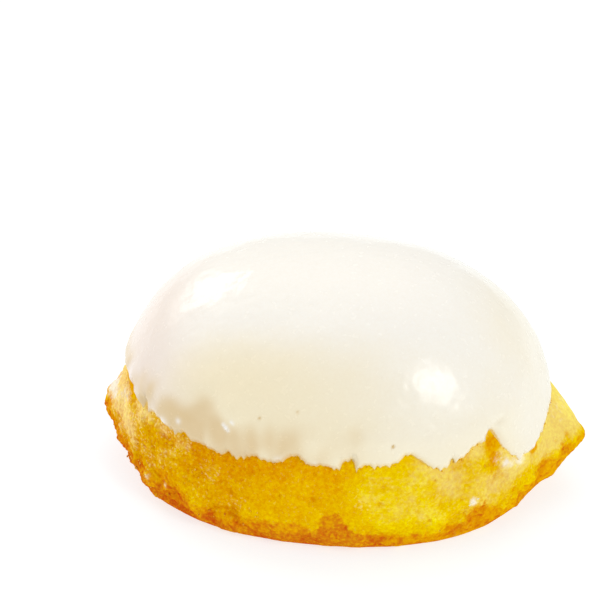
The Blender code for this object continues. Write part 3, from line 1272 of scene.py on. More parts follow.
@dataclass
class Sponge:
    """The baked sponge, with its craggy skin and browned foot."""

    form: LemonForm
    edge: IcingEdge
    tones: SpongeTones = SpongeTones()
    columns: int = 860
    underside_rows: int = 11
    foot_rows: int = 26
    band_rows: int = 67
    hidden_rows: int = 5
    underside_level: float = -2.0
    under_icing: float = 1.8 * MM
    relief_above_edge: float = 3.0 * MM
    wobble: Relief = Relief(0.40 * MM, 16.0 * MM, 3.0)
    crags: Relief = Relief(0.40 * MM, 6.0 * MM, 11.0)
    lumps: Relief = Relief(0.35 * MM, 3.0 * MM, 17.0)
    chips: Relief = Relief(0.80 * MM, 3.4 * MM, 53.0)
    grit: Relief = Relief(0.60 * MM, 1.5 * MM, 29.0)
    fine_grit: Relief = Relief(0.34 * MM, 0.6 * MM, 31.0)
    pores: Pores = Pores(0.35 * MM, 2.6 * MM, 0.5 * MM, 0.3, 37.0)
    # Pits, whose insides are painted with shade.
    holes: tuple[Spot, ...] = (
        Spot(-0.2, -26.2, 10.4, 0.65),
        Spot(11.0, -24.9, 13.0, 0.60),
        Spot(10.5, -25.3, 10.2, 0.55),
        Spot(-13.6, -24.6, 9.0, 0.60),
    )
    bulges: tuple[Spot, ...] = (
        Spot(36.6, 4.0, 13.2, 3.2, 1.0),
        Spot(40.8, 0.4, 10.8, 1.6, -0.4),
        Spot(39.6, 0.8, 13.6, 1.9, 1.3),
        Spot(39.4, -1.2, 8.2, 1.9, 0.25),
        Spot(-37.2, 1.0, 12.6, 2.4, -0.7),
        Spot(-37.8, -2.6, 9.0, 2.0, 0.5),
    )
    crust_roughness: float = 1.7
    crust_fade: Ramp = Ramp(4.0, 0.0)
    crumbly_least: float = 0.25
    crumbly_left: float = 0.65
    crumbly_low: float = 0.35
    crumbly_loss_tip: float = 0.3
    crumbly_side: Ramp = Ramp(-2.0, -22.0)
    crumbly_foot: Ramp = Ramp(3.0, 0.0)
    smooth_tip: Ramp = Ramp(33.0, 38.0)
    least_chipped: float = 2.0 / 7.0
    calm_below_edge: float = 1.8
    calm_share: float = 0.3
    foot_relief: Ramp = Ramp(-1.0, -0.5)
    item: bpy.types.Object = field(init=False, default=None)

    def rows(self, angle: np.ndarray) -> tuple[np.ndarray, np.ndarray]:
        """The smooth skin.

        Args:
            angle: The columns' angles.

        Returns:
            The grid's points and its levels, with a level of its own for the underside.
        """
        foot = np.linspace(-1.0, 0.0, self.foot_rows, endpoint=False)[:, None]
        foot = np.broadcast_to(foot, (self.foot_rows, len(angle)))
        top = self.edge.ragged_height(self.form, angle)
        top = np.maximum(top, self.edge.smooth_height(self.form, angle)) + self.under_icing
        share = np.linspace(0.0, 1.0, self.band_rows)[:, None]
        band = self.form.level_at(self.form.rim_height + (top - self.form.rim_height) * share)
        hidden = np.linspace(0.0, 1.0, self.hidden_rows + 2)[1:-1, None]
        hidden = band[-1] + (1.0 - band[-1]) * hidden
        levels = np.vstack((foot, band, hidden))
        side = self.form.side(angle[None, :], levels)
        under_share = np.linspace(0.0, 1.0, self.underside_rows + 1)[1:-1, None]
        under = self.form.underside(angle[None, :], under_share)
        levels = np.vstack((np.full(under.shape[:2], self.underside_level), levels))
        return np.concatenate((under, side)), levels

    def above_rim(self, points: np.ndarray) -> np.ndarray:
        """Height of points above the rim, which rises towards the tips.

        Args:
            points: Places in metres, with the body's middle at x = 0.

        Returns:
            Heights in millimetres.
        """
        form = self.form
        rim = form.rim_height + form.lift(points[..., 0]) * form.rim_lift_share
        return (points[..., 2] - rim) / MM

    def roughness(self, points: np.ndarray) -> np.ndarray:
        """How crumbly the skin is.

        Args:
            points: Places in metres, with the body's middle at x = 0.

        Returns:
            The least in the middle of the cake, and 1 at the roughest.
        """
        x = points[..., 0] / MM
        crumbly = self.crumbly_least + self.crumbly_left * self.crumbly_side.at(x)
        crumbly += self.crumbly_low * self.crumbly_foot.at(self.above_rim(points))
        crumbly -= self.crumbly_loss_tip * self.smooth_tip.at(np.abs(x))
        return np.clip(crumbly, 0.0, 1.0)

    def relief(self, points: np.ndarray, pit: np.ndarray) -> np.ndarray:
        """How far the crumb stands out of the smooth form.

        Args:
            points: Places on the smooth skin.
            pit: How far into a pore each lies, from 0 to 1.

        Returns:
            Heights in metres.
        """
        crust = self.crust_fade.at(self.above_rim(points))
        crumbly = self.roughness(points)
        form = self.wobble.at(points) + total(self.bulges, points) * MM
        rough = self.crags.at(points) + self.lumps.at(points)
        rough *= 1.0 + (self.crust_roughness - 1.0) * crust
        grit = (self.grit.humps(points) + self.fine_grit.humps(points)) * crumbly
        chipped = np.clip((crumbly - self.least_chipped) / (1.0 - self.least_chipped), 0.0, 1.0)
        chips = self.chips.humps(points) * crust * chipped
        return form + rough + grit - chips - self.pores.depth * pit

    def build(self) -> None:
        """Make the mesh, its masks and its place in the cake."""
        angle = self.form.angles(self.columns)
        grid, levels = self.rows(angle)
        edge = self.edge.smooth_height(self.form, angle)
        shown = (levels > self.underside_level) & (grid[..., 2] < edge + self.relief_above_edge)
        pit = np.zeros(levels.shape)
        pit[shown] = self.pores.at(grid[shown])
        for hole in self.holes:
            pit = np.maximum(pit, hole.at(grid))
        height = np.zeros(levels.shape)
        height[shown] = self.relief(grid[shown], pit[shown])
        below_edge = (edge - grid[..., 2]) / MM
        bare = self.calm_share + (1.0 - self.calm_share) * ease(below_edge / self.calm_below_edge)
        bare *= self.foot_relief.at(levels)
        skin = grid + outward(grid) * (height * bare)[..., None]
        self.item = ring_mesh("sponge_crumb", skin + self.form.middle)
        self.set_tones(grid, height / MM, pit, below_edge)

    def set_tones(self, grid: np.ndarray, height: np.ndarray, pit: np.ndarray,
                  below_edge: np.ndarray) -> None:
        """Store the masks that the finish reads.

        Args:
            grid: Places on the smooth skin.
            height: Relief there, in millimetres.
            pit: Depth in a pore there.
            below_edge: How far each lies below the icing's edge, in millimetres.
        """
        tones = self.tones
        rim = self.above_rim(grid)
        high = height / tones.hump_height
        left = tones.left.at(grid[..., 0] / MM)
        masks = tones.foot(grid, rim) | tones.skin(grid, rim, below_edge, high)
        masks["rough"] = self.roughness(grid) + tones.rough_left * left
        # Painted shade in the pits and in the relief's hollows.
        masks["pit_shade"] = np.maximum(pit, tones.hollow_share * tones.hollows.at(height))
        # Painted light on the humps and painted shade in the hollows.
        masks["relief_shading"] = 0.5 + high
        set_masks(self.item, masks)

    def dress(self, material: bpy.types.Material) -> None:
        """Give the sponge its material and its place in the frame.

        Args:
            material: The baked crumb.
        """
        self.item.data.materials.append(material)
        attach(self.item, "root")
        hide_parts("sponge")


@dataclass(frozen=True)
class IcingTones:
    """Where the icing is painted with shade and light, and where it is thin or filmed with crumb: a
    cream shade on its steep sides, whiter where it faces the key light, rosy light on its left side,
    and tan shade low down and in dents.

    Ramps run along the cake from the body's middle, up from the edge's usual height or away from
    the edge, in millimetres, and those that say facing run over a part of the way it faces.
    """

    # The cream tint is painted shade on the sides that face front and back.
    facing_front: Ramp = Ramp(0.40, 0.82)
    facing_right: Ramp = Ramp(0.0, 0.8)
    facing_far_right: Ramp = Ramp(0.2, 0.7)
    facing_left: Ramp = Ramp(-0.2, -0.8)
    cream_loss_right: float = 0.5
    cream_far_right: float = 0.45
    # The coat is painted whiter where it faces the key light, as a painted highlight.
    key_facing: tuple[float, float, float] = (0.38, -0.70, 0.60)
    key_reach: float = 0.40
    cream_loss_key: float = 0.6
    rosy_light_share: float = 0.9
    # Painted shade: the coat's lower part, most on the left, is tinted tan.
    low: Ramp = Ramp(10.0, 1.0)
    low_side: Ramp = Ramp(16.0, -18.0)
    rim: Ramp = Ramp(1.4, 0.0)
    rim_side: Ramp = Ramp(24.0, -6.0)
    rim_share: float = 0.35
    lower: Ramp = Ramp(12.0, 3.0)
    lower_side: Ramp = Ramp(20.0, 0.0)
    lower_share: float = 0.22
    patches: Relief = Relief(0.9, 6.0 * MM, 71.0)
    streaks: Relief = Relief(0.7, 2.2 * MM, 73.0)
    streak_stretch: tuple[float, float, float] = (1.0, 1.0, 0.4)
    # How much the dents are painted with shade, and the swells with light.
    dent_share: float = 0.8
    film: Ramp = Ramp(0.55, 0.0)

    def cream_and_shade(self, facing: np.ndarray) -> np.ndarray:
        """Painted shade and highlight: a cream tint where the icing faces front or back, less where
        it faces right, a little more where it faces far right, and whiter where it faces the key
        light.

        Args:
            facing: Directions that it faces.

        Returns:
            0 for white and 1 for cream.
        """
        side = self.facing_front.at(np.abs(facing[..., 1]))
        side = side * (1.0 - self.cream_loss_right * self.facing_right.at(facing[..., 0]))
        cream_and_shade = side + self.cream_far_right * self.facing_far_right.at(facing[..., 0])
        apart = np.linalg.norm(facing - np.array(self.key_facing), axis=-1)
        return cream_and_shade * (1.0 - self.cream_loss_key * bell(apart / self.key_reach))

    def thin_and_shade(self, face: np.ndarray, rise: np.ndarray, distance: np.ndarray) -> np.ndarray:
        """Where the icing is tinted tan, apart from its dents: painted shade in its lower part, most
        on the left and in patches, and thin icing near the edge, except at the right.

        Args:
            face: Places on the coat's smooth face.
            rise: How far they lie above the edge's usual height, in millimetres.
            distance: How far they lie from the edge, in millimetres.

        Returns:
            0 for none and 1 for the full tan tint.
        """
        x = face[..., 0] / MM
        low = self.low.at(rise) * self.low_side.at(x)
        patchy = 0.5 + self.patches.at(face) + self.streaks.at(face * np.array(self.streak_stretch))
        rim = self.rim_share * self.rim.at(distance) * self.rim_side.at(x)
        lower = self.lower_share * self.lower.at(rise) * self.lower_side.at(x)
        return low * patchy + rim + lower


@dataclass
class Icing:
    """The coat of icing over the dome."""

    form: LemonForm
    edge: IcingEdge
    tones: IcingTones = IcingTones()
    columns: int = 900
    outer_rows: int = 98
    inner_rows: int = 6
    row_gathering: float = 1.3
    edge_hold: int = 3
    edge_parts: int = 4
    top_level: float = 0.995
    gap: float = 0.35 * MM
    embed: float = 0.20 * MM
    inner_depth: float = 0.30 * MM
    top_thickness: float = 2.3 * MM
    side_thickness: float = 1.3 * MM
    end_thinning: float = 0.45
    end_half_width: float = 35.0
    end_level: float = 0.4
    lip: float = 1.5 * MM
    edge_reach: float = 5.0 * MM
    taper: float = 6.0 * MM
    taper_start: float = 0.15
    edge_share: float = 0.58
    edge_thinning_left: float = 0.22
    thin_side: Ramp = Ramp(8.0, -12.0)
    ripple: Relief = Relief(0.16 * MM, 9.0 * MM, 7.0)
    waves: Relief = Relief(0.10 * MM, 3.6 * MM, 51.0)
    crinkle: Relief = Relief(0.05 * MM, 1.2 * MM, 57.0)
    wrinkles: Relief = Relief(0.09 * MM, 1.7 * MM, 63.0)
    flutes: Relief = Relief(0.40 * MM, 2.6 * MM, 59.0)
    flute_stretch: tuple[float, float, float] = (1.0, 1.0, 0.12)
    fluted_side: Ramp = Ramp(-15.0, -25.0)
    fluted_foot: Ramp = Ramp(7.0, 1.0)
    even_rim: Ramp = Ramp(0.0, 1.6)
    puckers: tuple[Spot, ...] = (
        Spot(-20.0, -6.8, 35.0, 4.2, 1.0),
        Spot(-14.5, -4.8, 37.8, 3.8, 0.9),
        Spot(-9.5, -1.4, 39.1, 3.4, 0.8),
        Spot(-4.0, 0.2, 39.4, 3.0, 0.6),
        Spot(-2.0, -4.4, 39.2, 2.6, 0.5),
        Spot(14.0, -19.4, 28.2, 3.2, 0.22),
    )
    swells: tuple[Spot, ...] = (
        Spot(-17.9, -21.0, 23.8, 1.9, -0.45),
        Spot(-18.8, -21.9, 21.4, 2.6, -0.25),
        Spot(-21.6, -20.3, 21.5, 2.2, -0.20),
        Spot(-15.0, -24.0, 19.6, 2.0, -0.22),
        Spot(-13.0, -22.8, 23.7, 2.2, 0.35),
        Spot(-12.2, -22.1, 25.8, 3.0, 0.20),
        Spot(-25.4, -17.2, 22.0, 2.0, 0.25),
        Spot(-22.6, -17.0, 25.5, 3.2, 0.25),
        Spot(6.5, -24.3, 22.6, 1.6, -0.25),
        Spot(10.8, -23.8, 21.6, 1.8, 0.20),
        Spot(27.5, -16.6, 20.4, 0.5, -0.40),
        Spot(27.9, -16.1, 20.7, 0.5, -0.35),
        Spot(28.4, -15.5, 21.0, 0.5, -0.30),
        Spot(28.9, -14.9, 21.3, 0.5, -0.20),
    )
    # Small bumps whose colour is mixed to white: painted glints.
    gleams: tuple[Spot, ...] = (
        Spot(-14.6, -23.4, 21.6, 0.32, 0.8),
        Spot(-14.2, -23.6, 21.2, 0.34, 1.0),
        Spot(-13.8, -23.7, 20.8, 0.30, 0.8),
        Spot(-13.2, -23.4, 22.3, 0.28, 0.7),
        Spot(-12.9, -23.5, 22.0, 0.28, 0.6),
        Spot(-22.6, -20.7, 19.5, 0.50, 1.0),
        Spot(-25.5, -19.0, 18.0, 0.75, 1.0),
        Spot(-5.8, -26.3, 17.3, 0.60, 1.2),
        Spot(-5.0, -26.4, 17.4, 0.60, 1.2),
        Spot(-4.3, -26.3, 17.6, 0.60, 1.0),
        Spot(0.3, -26.5, 17.2, 0.50, 1.1),
    )
    gleam_height: float = 0.25 * MM
    pinholes: tuple[Spot, ...] = (
        Spot(-8.8, -24.0, 23.8, 0.24, 1.6),
        Spot(-2.8, -23.9, 25.4, 0.26, 1.6),
        Spot(12.3, -24.3, 20.7, 0.24, 1.5),
    )
    pinhole_depth: float = 0.1 * MM
    item: bpy.types.Object = field(init=False, default=None)

    def levels(self, angle: np.ndarray) -> np.ndarray:
        """Levels of the outer rows, closest together at the edge.

        Args:
            angle: The columns' angles.

        Returns:
            The levels, in rows that start at the edge.
        """
        edge = self.form.level_at(self.edge.ragged_height(self.form, angle))
        share = np.linspace(0.0, self.top_level, self.outer_rows)[:, None] ** self.row_gathering
        even = edge.mean()
        return even + share * (1.0 - even) + (edge - even) * (1.0 - share) ** self.edge_hold

    def edge_distance(self, points: np.ndarray) -> np.ndarray:
        """How far places on the sponge's skin lie from the coat's edge.

        Args:
            points: The places, in rows that start at the edge.

        Returns:
            Distances in metres, which stop growing some way above the edge.
        """
        share = np.linspace(0.0, 1.0, self.edge_parts, endpoint=False)[None, :, None]
        following = np.roll(points[0], -1, axis=0)
        edge = (points[0][:, None] * (1.0 - share) + following[:, None] * share).reshape(-1, 3)
        tree = KDTree(len(edge))
        for index, place in enumerate(edge.tolist()):
            tree.insert(place, index)
        tree.balance()
        run = np.linalg.norm(points - points[0], axis=-1)
        near = run < self.edge_reach
        run[near] = [tree.find(place)[2] for place in points[near].tolist()]
        return np.minimum(run, self.edge_reach)

    def thickness(self, points: np.ndarray, levels: np.ndarray, angle: np.ndarray,
                  distance: np.ndarray) -> np.ndarray:
        """How far the coat's face lies from the sponge's smooth skin.

        Args:
            points: Places on that skin.
            levels: Their levels.
            angle: The columns' angles.
            distance: How far each lies from the edge.

        Returns:
            Distances in metres, below 0 at the very edge, which lies in the crumb.
        """
        full = self.side_thickness + (self.top_thickness - self.side_thickness) * ease(levels)
        from_end = np.degrees(np.arcsin(np.abs(np.sin(angle))))
        ends = bell(from_end / self.end_half_width)[None, :] * bell(levels / self.end_level)
        full *= 1.0 - self.end_thinning * ends
        rise = (points[..., 2] - self.edge.height) / self.taper + self.taper_start
        left = self.thin_side.at(points[..., 0] / MM)
        edge_share = self.edge_share - self.edge_thinning_left * left
        full *= edge_share + (1.0 - edge_share) * ease(rise)
        swell = np.clip(distance / self.lip, 0.0, 1.0)
        rounded = 1.0 - (1.0 - swell) ** 2
        return (self.gap + full) * rounded - self.embed * (1.0 - rounded)

    def above_edge(self, points: np.ndarray) -> np.ndarray:
        """Height of points above the edge's usual height, in millimetres."""
        return (points[..., 2] - self.edge.height) / MM

    def relief(self, points: np.ndarray, face: np.ndarray, distance: np.ndarray) -> np.ndarray:
        """Ripples, wrinkles, dents and runs of the coat's face.

        Args:
            points: Places on the sponge's smooth skin below it.
            face: Places on the coat's smooth face.
            distance: How far each lies from the coat's edge.

        Returns:
            Heights in metres.
        """
        fine = self.ripple.at(points) + self.waves.at(points) + self.crinkle.at(points)
        fine += self.wrinkles.at(points) * self.puckered(face)
        spots = total(self.swells, face) * MM + total(self.gleams, face) * self.gleam_height
        runs = self.flutes.at(points * np.array(self.flute_stretch))
        runs *= self.fluted_side.at(points[..., 0] / MM)
        runs *= self.fluted_foot.at(self.above_edge(points))
        holes = total(self.pinholes, face) * self.pinhole_depth
        return (fine + spots + runs) * self.even_rim.at(distance / MM) - holes

    def puckered(self, face: np.ndarray) -> np.ndarray:
        """Where the coat's skin dried wrinkled, from 0 to 1."""
        return np.clip(total(self.puckers, face), 0.0, 1.0)

    def build(self) -> None:
        """Make the closed mesh of the coat and its masks."""
        angle = self.form.angles(self.columns)
        levels = self.levels(angle)
        skin = self.form.side(angle[None, :], levels)
        distance = self.edge_distance(skin)
        facing = outward(skin)
        face = skin + facing * self.thickness(skin, levels, angle, distance)[..., None]
        coat = face + facing * self.relief(skin, face, distance)[..., None]
        inner_share = np.linspace(1.0, 0.0, self.inner_rows + 1)[:-1, None]
        inner_levels = levels[0] + (self.top_level - levels[0]) * inner_share
        inner = self.form.side(angle[None, :], inner_levels)
        inner = inner - outward(inner[::-1])[::-1] * self.inner_depth
        grid = np.concatenate((inner, coat)) + self.form.middle
        self.item = ring_mesh("icing_coat", grid)
        self.set_tones(face, facing, distance / MM, inner[..., 0].size)

    def set_tones(self, face: np.ndarray, facing: np.ndarray, distance: np.ndarray,
                  hidden: int) -> None:
        """Store the masks that the finish reads.

        Args:
            face: Places on the coat's smooth face.
            facing: Directions that they face.
            distance: How far each lies from the coat's edge, in millimetres.
            hidden: How many vertices of the mesh come before them.
        """
        tones = self.tones
        thin_and_shade = tones.thin_and_shade(face, self.above_edge(face), distance)
        masks = {
            "cream_and_shade": tones.cream_and_shade(facing),
            # Painted light: the side that faces left is tinted rosy.
            "rosy_light": tones.rosy_light_share * tones.facing_left.at(facing[..., 0]),
            # Dents are painted darker with tan shade, and swells painted whiter.
            "thin_and_shade": thin_and_shade - tones.dent_share * total(self.swells, face),
            "hole": total(self.pinholes, face),
            "film": tones.film.at(distance),
            "painted_gleam": total(self.gleams, face),
            "pucker": self.puckered(face),
        }
        set_masks(self.item, masks, hidden)

    def dress(self, material: bpy.types.Material) -> None:
        """Give the coat its material and its place in the frame.

        Args:
            material: The white icing.
        """
        self.item.data.materials.append(material)
        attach(self.item, "root")
        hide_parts("icing")


@dataclass(frozen=True)
class Dab:
    """A dab of icing beside the coat: its place, its size in millimetres and its slant."""

    angle: float
    height: float
    length: float
    width: float
    thickness: float
    slant: float


@dataclass
class IcingDabs:
    """Dabs of icing that the coat left on the sponge."""

    form: LemonForm
    around_steps: int = 26
    along_steps: int = 18
    lift: float = 0.1
    side_radius: float = 25.0
    bumps: Relief = Relief(0.55 * MM, 0.9 * MM, 61.0)
    dabs: tuple[Dab, ...] = (
        Dab(-38.2, 7.8, 2.2, 0.55, 0.34, 25.0),
    )
    creaminess: float = 0.6
    item: bpy.types.Object = field(init=False, default=None)

    def dab_points(self, dab: Dab) -> np.ndarray:
        """Points of one dab, ring by ring from end to end.

        Args:
            dab: The dab.

        Returns:
            A grid with the rings' points, in metres.
        """
        angle, height = np.array(math.radians(dab.angle)), np.array(dab.height * MM)
        place, facing, around = self.form.surface(angle, height)
        slant = math.radians(dab.slant)
        along = around * math.cos(slant) + np.cross(facing, around) * math.sin(slant)
        across = np.cross(facing, along)
        turn = np.linspace(0.0, 2.0 * math.pi, self.around_steps, endpoint=False)[None, :]
        share = np.linspace(-1.0, 1.0, self.along_steps + 2)[1:-1, None]
        girth = np.sqrt(1.0 - share**2)
        reach = share * dab.length / 2.0
        side = girth * np.cos(turn) * dab.width / 2.0
        rise = girth * np.sin(turn) * dab.thickness + self.lift - reach**2 / (2.0 * self.side_radius)
        steps = (reach + 0.0 * turn)[..., None] * along + side[..., None] * across
        points = place + (steps + rise[..., None] * facing) * MM
        return points + facing * self.bumps.at(points)[..., None] + self.form.middle

    def build(self) -> None:
        """Make one mesh of all the dabs."""
        points, faces = [], []
        for dab in self.dabs:
            grid = self.dab_points(dab)
            index = np.arange(grid[..., 0].size).reshape(grid.shape[:2]) + len(points)
            following = np.roll(index, -1, axis=1)
            quads = np.stack((index[:-1], index[1:], following[1:], following[:-1]), -1)
            faces += quads.reshape(-1, 4).tolist()
            faces += [index[0].tolist(), index[-1][::-1].tolist()]
            points += grid.reshape(-1, 3).tolist()
        self.item = add_object("icing_dabs", np.array(points), faces)
        set_masks(self.item, {"cream_and_shade": np.full(len(points), self.creaminess)})

    def dress(self, material: bpy.types.Material) -> None:
        """Give the dabs their material and their place in the frame.

        Args:
            material: The white icing.
        """
        self.item.data.materials.append(material)
        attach(self.item, "root")


@dataclass
class LooseCrumbs:
    """Crumbs that cling to the bare sponge, and to the icing's edge."""

    sponge: Sponge
    count: int = 80
    edge_count: int = 320
    tries: int = 20
    smallest: float = 0.12 * MM
    largest: float = 0.30 * MM
    small_bias: float = 2.5
    edge_size: float = 0.7
    edge_tone: float = 0.6
    edge_spread: float = 0.22 * MM
    edge_depth: float = 0.05 * MM
    foot_bias: float = 1.6
    lowest: float = 0.6
    right_share: float = 0.15
    left_side: Ramp = Ramp(-4.0, -18.0)
    bare_tip: Ramp = Ramp(35.0, 30.0)
    unevenness: tuple[float, float] = (0.6, 1.25)
    stretch: tuple[float, float] = (0.7, 1.3)
    stand_off: float = 0.35
    brown_foot: Ramp = Ramp(2.0, 0.0)
    seed: int = 5
    item: bpy.types.Object = field(init=False, default=None)

    @staticmethod
    def crumb_shape() -> tuple[np.ndarray, np.ndarray]:
        """Points and triangles of a ball with twelve corners and radius 1."""
        golden = (1.0 + math.sqrt(5.0)) / 2.0
        corners = [(0.0, a, b * golden) for a in (-1.0, 1.0) for b in (-1.0, 1.0)]
        points = np.array([np.roll(corner, turn) for turn in range(3) for corner in corners])
        points /= np.linalg.norm(points[0])
        apart = np.linalg.norm(points[:, None] - points[None], axis=-1)
        slack = 1.05  # more than rounding, less than the next distance
        close = apart < slack * apart[0, 1:].min()
        faces = []
        for a, b, c in combinations(range(len(points)), 3):
            if close[a, b] and close[b, c] and close[a, c]:
                facing = np.cross(points[b] - points[a], points[c] - points[a])
                faces.append((a, b, c) if facing @ points[a] > 0.0 else (a, c, b))
        return points, np.array(faces)

    def places(self, draw: np.random.Generator) -> tuple[np.ndarray, np.ndarray]:
        """Where the crumbs lie, and the directions that they face.

        Args:
            draw: The source of chance.

        Returns:
            Places on the sponge's relief, in the body's frame, and unit vectors.
        """
        form, edge = self.sponge.form, self.sponge.edge
        angle = draw.uniform(-math.pi, math.pi, self.count * self.tries)
        rise = draw.uniform(0.0, 1.0, angle.size) ** self.foot_bias
        reach = edge.smooth_height(form, angle) - form.rim_height
        height = form.rim_height * self.lowest + rise * reach
        point, *_ = form.surface(angle, height)
        chance = self.bare_tip.at(np.abs(point[:, 0]) / MM) * self.sponge.roughness(point) ** 2
        left = self.left_side.at(point[:, 0] / MM)
        chance *= self.right_share + (1.0 - self.right_share) * left
        kept = np.flatnonzero(draw.uniform(0.0, 1.0, angle.size) < chance)[: self.count]
        beside = draw.uniform(-math.pi, math.pi, self.edge_count)
        around_edge = edge.ragged_height(form, beside)
        around_edge = around_edge + draw.normal(0.0, self.edge_spread, beside.size)
        angle, height = np.r_[angle[kept], beside], np.r_[height[kept], around_edge]
        point, facing, _ = form.surface(angle, height)
        relief = self.sponge.relief(point, np.zeros(len(point)))
        relief[kept.size:] = -self.edge_depth
        return point + facing * relief[:, None], facing

    def build(self) -> None:
        """Make one mesh of all the crumbs."""
        draw = np.random.default_rng(self.seed)
        places, facing = self.places(draw)
        ball, triangles = self.crumb_shape()
        count = len(places)
        growth = draw.uniform(0.0, 1.0, count) ** self.small_bias
        size = self.smallest + (self.largest - self.smallest) * growth
        size[count - self.edge_count:] *= self.edge_size
        uneven = draw.uniform(*self.unevenness, (count, len(ball), 1))
        stretch = draw.uniform(*self.stretch, (count, 1, 3))
        points = places[:, None] + ball[None] * uneven * stretch * size[:, None, None]
        points = points + (facing * size[:, None] * self.stand_off)[:, None]
        points = (points + self.sponge.form.middle).reshape(-1, 3)
        faces = triangles[None] + (np.arange(count) * len(ball))[:, None, None]
        self.item = add_object("loose_crumbs", points, faces.reshape(-1, 3).tolist())
        tone = draw.uniform(0.0, 1.0, count)
        tone[count - self.edge_count:] *= self.edge_tone
        low = self.brown_foot.at(self.sponge.above_rim(places))
        masks = {"tone": np.repeat(tone, len(ball)), "low": np.repeat(low, len(ball))}
        set_masks(self.item, masks)

    def dress(self, material: bpy.types.Material) -> None:
        """Give the crumbs their material and their place in the frame.

        Args:
            material: The crumbs' own.
        """
        self.item.data.materials.append(material)
        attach(self.item, "root")


@dataclass(frozen=True)
class LooseCrumbFinish:
    """Crumbs from pale to golden, and browner on the foot."""

    groups: NodeGroups
    golden: Colour = Colour(228, 168, 20)
    pale: Colour = Colour(238, 192, 84)
    brown: Colour = Colour(205, 116, 24)
    blotches: Mottle = Mottle(0.4, 27.0, 2.0)
    tone_edge: Breakup = Breakup(0.5, 0.4)
    roughness: float = 0.8
    specular: float = 0.1

    def material(self, name: str) -> bpy.types.Material:
        """Make the material.

        Args:
            name: The material's name.

        Returns:
            A material that reads the masks tone and low.
        """
        material, graph, shader = new_material(name)
        blotches = self.groups.mottle(graph, self.blotches)
        tone = self.groups.ragged(graph, graph.mask("tone"), blotches, self.tone_edge)
        colour = graph.mix(tone, self.golden.linear(), self.pale.linear())
        browned = graph.multiply(graph.mask("low"), graph.subtract(1.0, tone))
        colour = graph.mix(browned, colour, self.brown.linear())
        graph.put(shader.inputs["Base Color"], colour)
        shader.inputs["Roughness"].default_value = self.roughness
        shader.inputs["Specular IOR Level"].default_value = self.specular
        return material


@dataclass(frozen=True)
class SoftLight:
    """A light that faces the cake, with its power in watts.

    Its azimuth and elevation are in degrees, and its distance and size in metres.
    """

    name: str
    azimuth: float
    elevation: float
    distance: float
    width: float
    height: float
    power: float
    tint: tuple[float, float, float] = (1.0, 1.0, 1.0)
    outline: Outline = Outline.SQUARE
    mirrored: bool = True


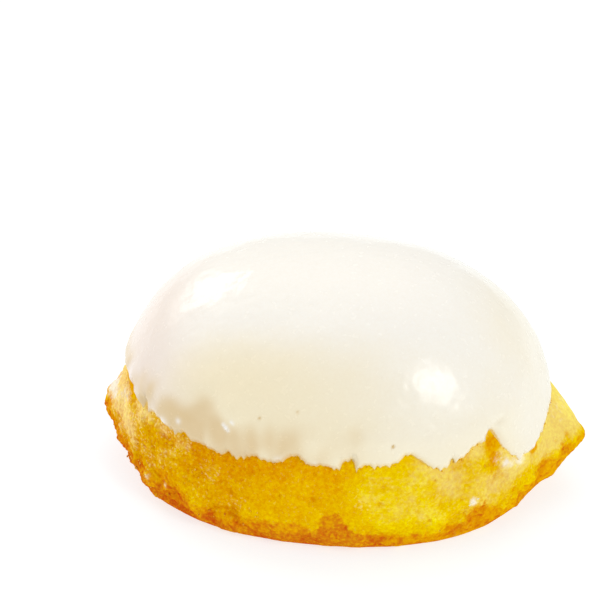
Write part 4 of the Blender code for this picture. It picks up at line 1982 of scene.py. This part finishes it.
@dataclass
class Studio:
    """The floor, the lights and the camera."""

    middle: Vector = field(default_factory=lambda: Vector((-0.92 * MM, 0.0, 15.0 * MM)))
    azimuth: float = 7.24
    elevation: float = 34.0
    distance: float = 0.45
    lens: float = 163.84
    nearest: float = 0.01
    farthest: float = 50.0
    aim_aside: float = -6.48 * MM
    aim_above: float = 13.89 * MM
    floor_height: float = 0.0
    floor_side: float = 6.0
    floor_tint: tuple[float, float, float, float] = (0.35, 0.39, 0.41, 1.0)
    floor_glow: float = 0.69
    floor_roughness: float = 0.7
    floor_specular: float = 0.2
    sky: float = 0.56
    lights: tuple[SoftLight, ...] = (
        SoftLight("overhead", 175.0, 62.0, 0.8, 0.6, 0.6, 1.8, mirrored=False),
        SoftLight("right_key", 50.0, 34.5, 0.6, 0.20, 0.30, 1.0, outline=Outline.ROUND),
        SoftLight("back_left", -126.0, 34.0, 0.6, 0.30, 0.30, 0.8),
        SoftLight("left_fill", -75.0, 22.0, 0.7, 0.5, 0.5, 0.95, (1.0, 0.93, 0.9), mirrored=False),
    )

    @staticmethod
    def towards(azimuth: float, elevation: float) -> Vector:
        """Direction from the cake towards a place in the studio.

        Args:
            azimuth: Turn around +Z from the front, in degrees.
            elevation: Angle above the table, in degrees.

        Returns:
            A unit vector.
        """
        turn, rise = math.radians(azimuth), math.radians(elevation)
        level = math.cos(rise)
        return Vector((math.sin(turn) * level, -math.cos(turn) * level, math.sin(rise)))

    def set_camera(self) -> None:
        """Place the camera at the photograph's angle, aimed a little past the cake's middle."""
        back = self.towards(self.azimuth, self.elevation)
        right = self.towards(self.azimuth + 90.0, 0.0)
        above = back.cross(right)
        place = self.middle + back * self.distance
        aim = self.middle + right * self.aim_aside + above * self.aim_above
        lens = bpy.data.cameras.new("camera")
        lens.lens = self.lens
        lens.clip_start, lens.clip_end = self.nearest, self.farthest
        camera = bpy.data.objects.new("camera", lens)
        camera.location = place
        camera.rotation_euler = (aim - place).to_track_quat("-Z", "Y").to_euler()
        bpy.context.scene.collection.objects.link(camera)
        bpy.context.scene.camera = camera

    def set_lights(self) -> None:
        """Place the soft lights and the pale sky."""
        for light in self.lights:
            lamp = bpy.data.lights.new(light.name, "AREA")
            lamp.shape = light.outline.value
            lamp.size, lamp.size_y = light.width, light.height
            lamp.energy = light.power
            lamp.color = light.tint
            item = bpy.data.objects.new(light.name, lamp)
            direction = self.towards(light.azimuth, light.elevation)
            item.location = self.middle + direction * light.distance
            item.rotation_euler = direction.to_track_quat("Z", "Y").to_euler()
            item.visible_glossy = light.mirrored
            bpy.context.scene.collection.objects.link(item)
        world = bpy.data.worlds.new("studio")
        world.use_nodes = True
        world.node_tree.nodes["Background"].inputs["Strength"].default_value = self.sky
        world.node_tree.nodes["Background"].inputs["Color"].default_value = WHITE
        bpy.context.scene.world = world

    def set_floor(self) -> None:
        """Lay the floor."""
        half, low = self.floor_side / 2.0, self.floor_height
        corners = [(-half, -half, low), (half, -half, low), (half, half, low), (-half, half, low)]
        floor = add_object("floor", np.array(corners), [(0, 1, 2, 3)])
        material, _, shader = new_material("pale_floor")
        shader.inputs["Base Color"].default_value = self.floor_tint
        shader.inputs["Roughness"].default_value = self.floor_roughness
        shader.inputs["Specular IOR Level"].default_value = self.floor_specular
        shader.inputs["Emission Color"].default_value = WHITE
        shader.inputs["Emission Strength"].default_value = self.floor_glow
        floor.data.materials.append(material)


def main() -> None:
    """Build the cake and the studio."""
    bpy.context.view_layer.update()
    bpy.context.scene.view_settings.view_transform = "Standard"
    studio = Studio()
    studio.set_camera()
    studio.set_lights()
    form, edge, groups = LemonForm(), IcingEdge(), NodeGroups()
    crumb = CrumbFinish(groups).material("baked_crumb")
    white = IcingFinish(groups).material("white_icing")
    sponge = Sponge(form, edge)
    icing = Icing(form, edge)
    dabs = IcingDabs(form)
    crumbs = LooseCrumbs(sponge)
    finishes = (
        (sponge, crumb),
        (icing, white),
        (dabs, white),
        (crumbs, LooseCrumbFinish(groups).material("loose_crumb")),
    )
    for piece, material in finishes:
        piece.build()
        piece.dress(material)
        log.info("%s: %d faces", piece.item.name, len(piece.item.data.polygons))
    studio.set_floor()


if __name__ == "__main__":
    logging.basicConfig(level=logging.INFO)
    main()
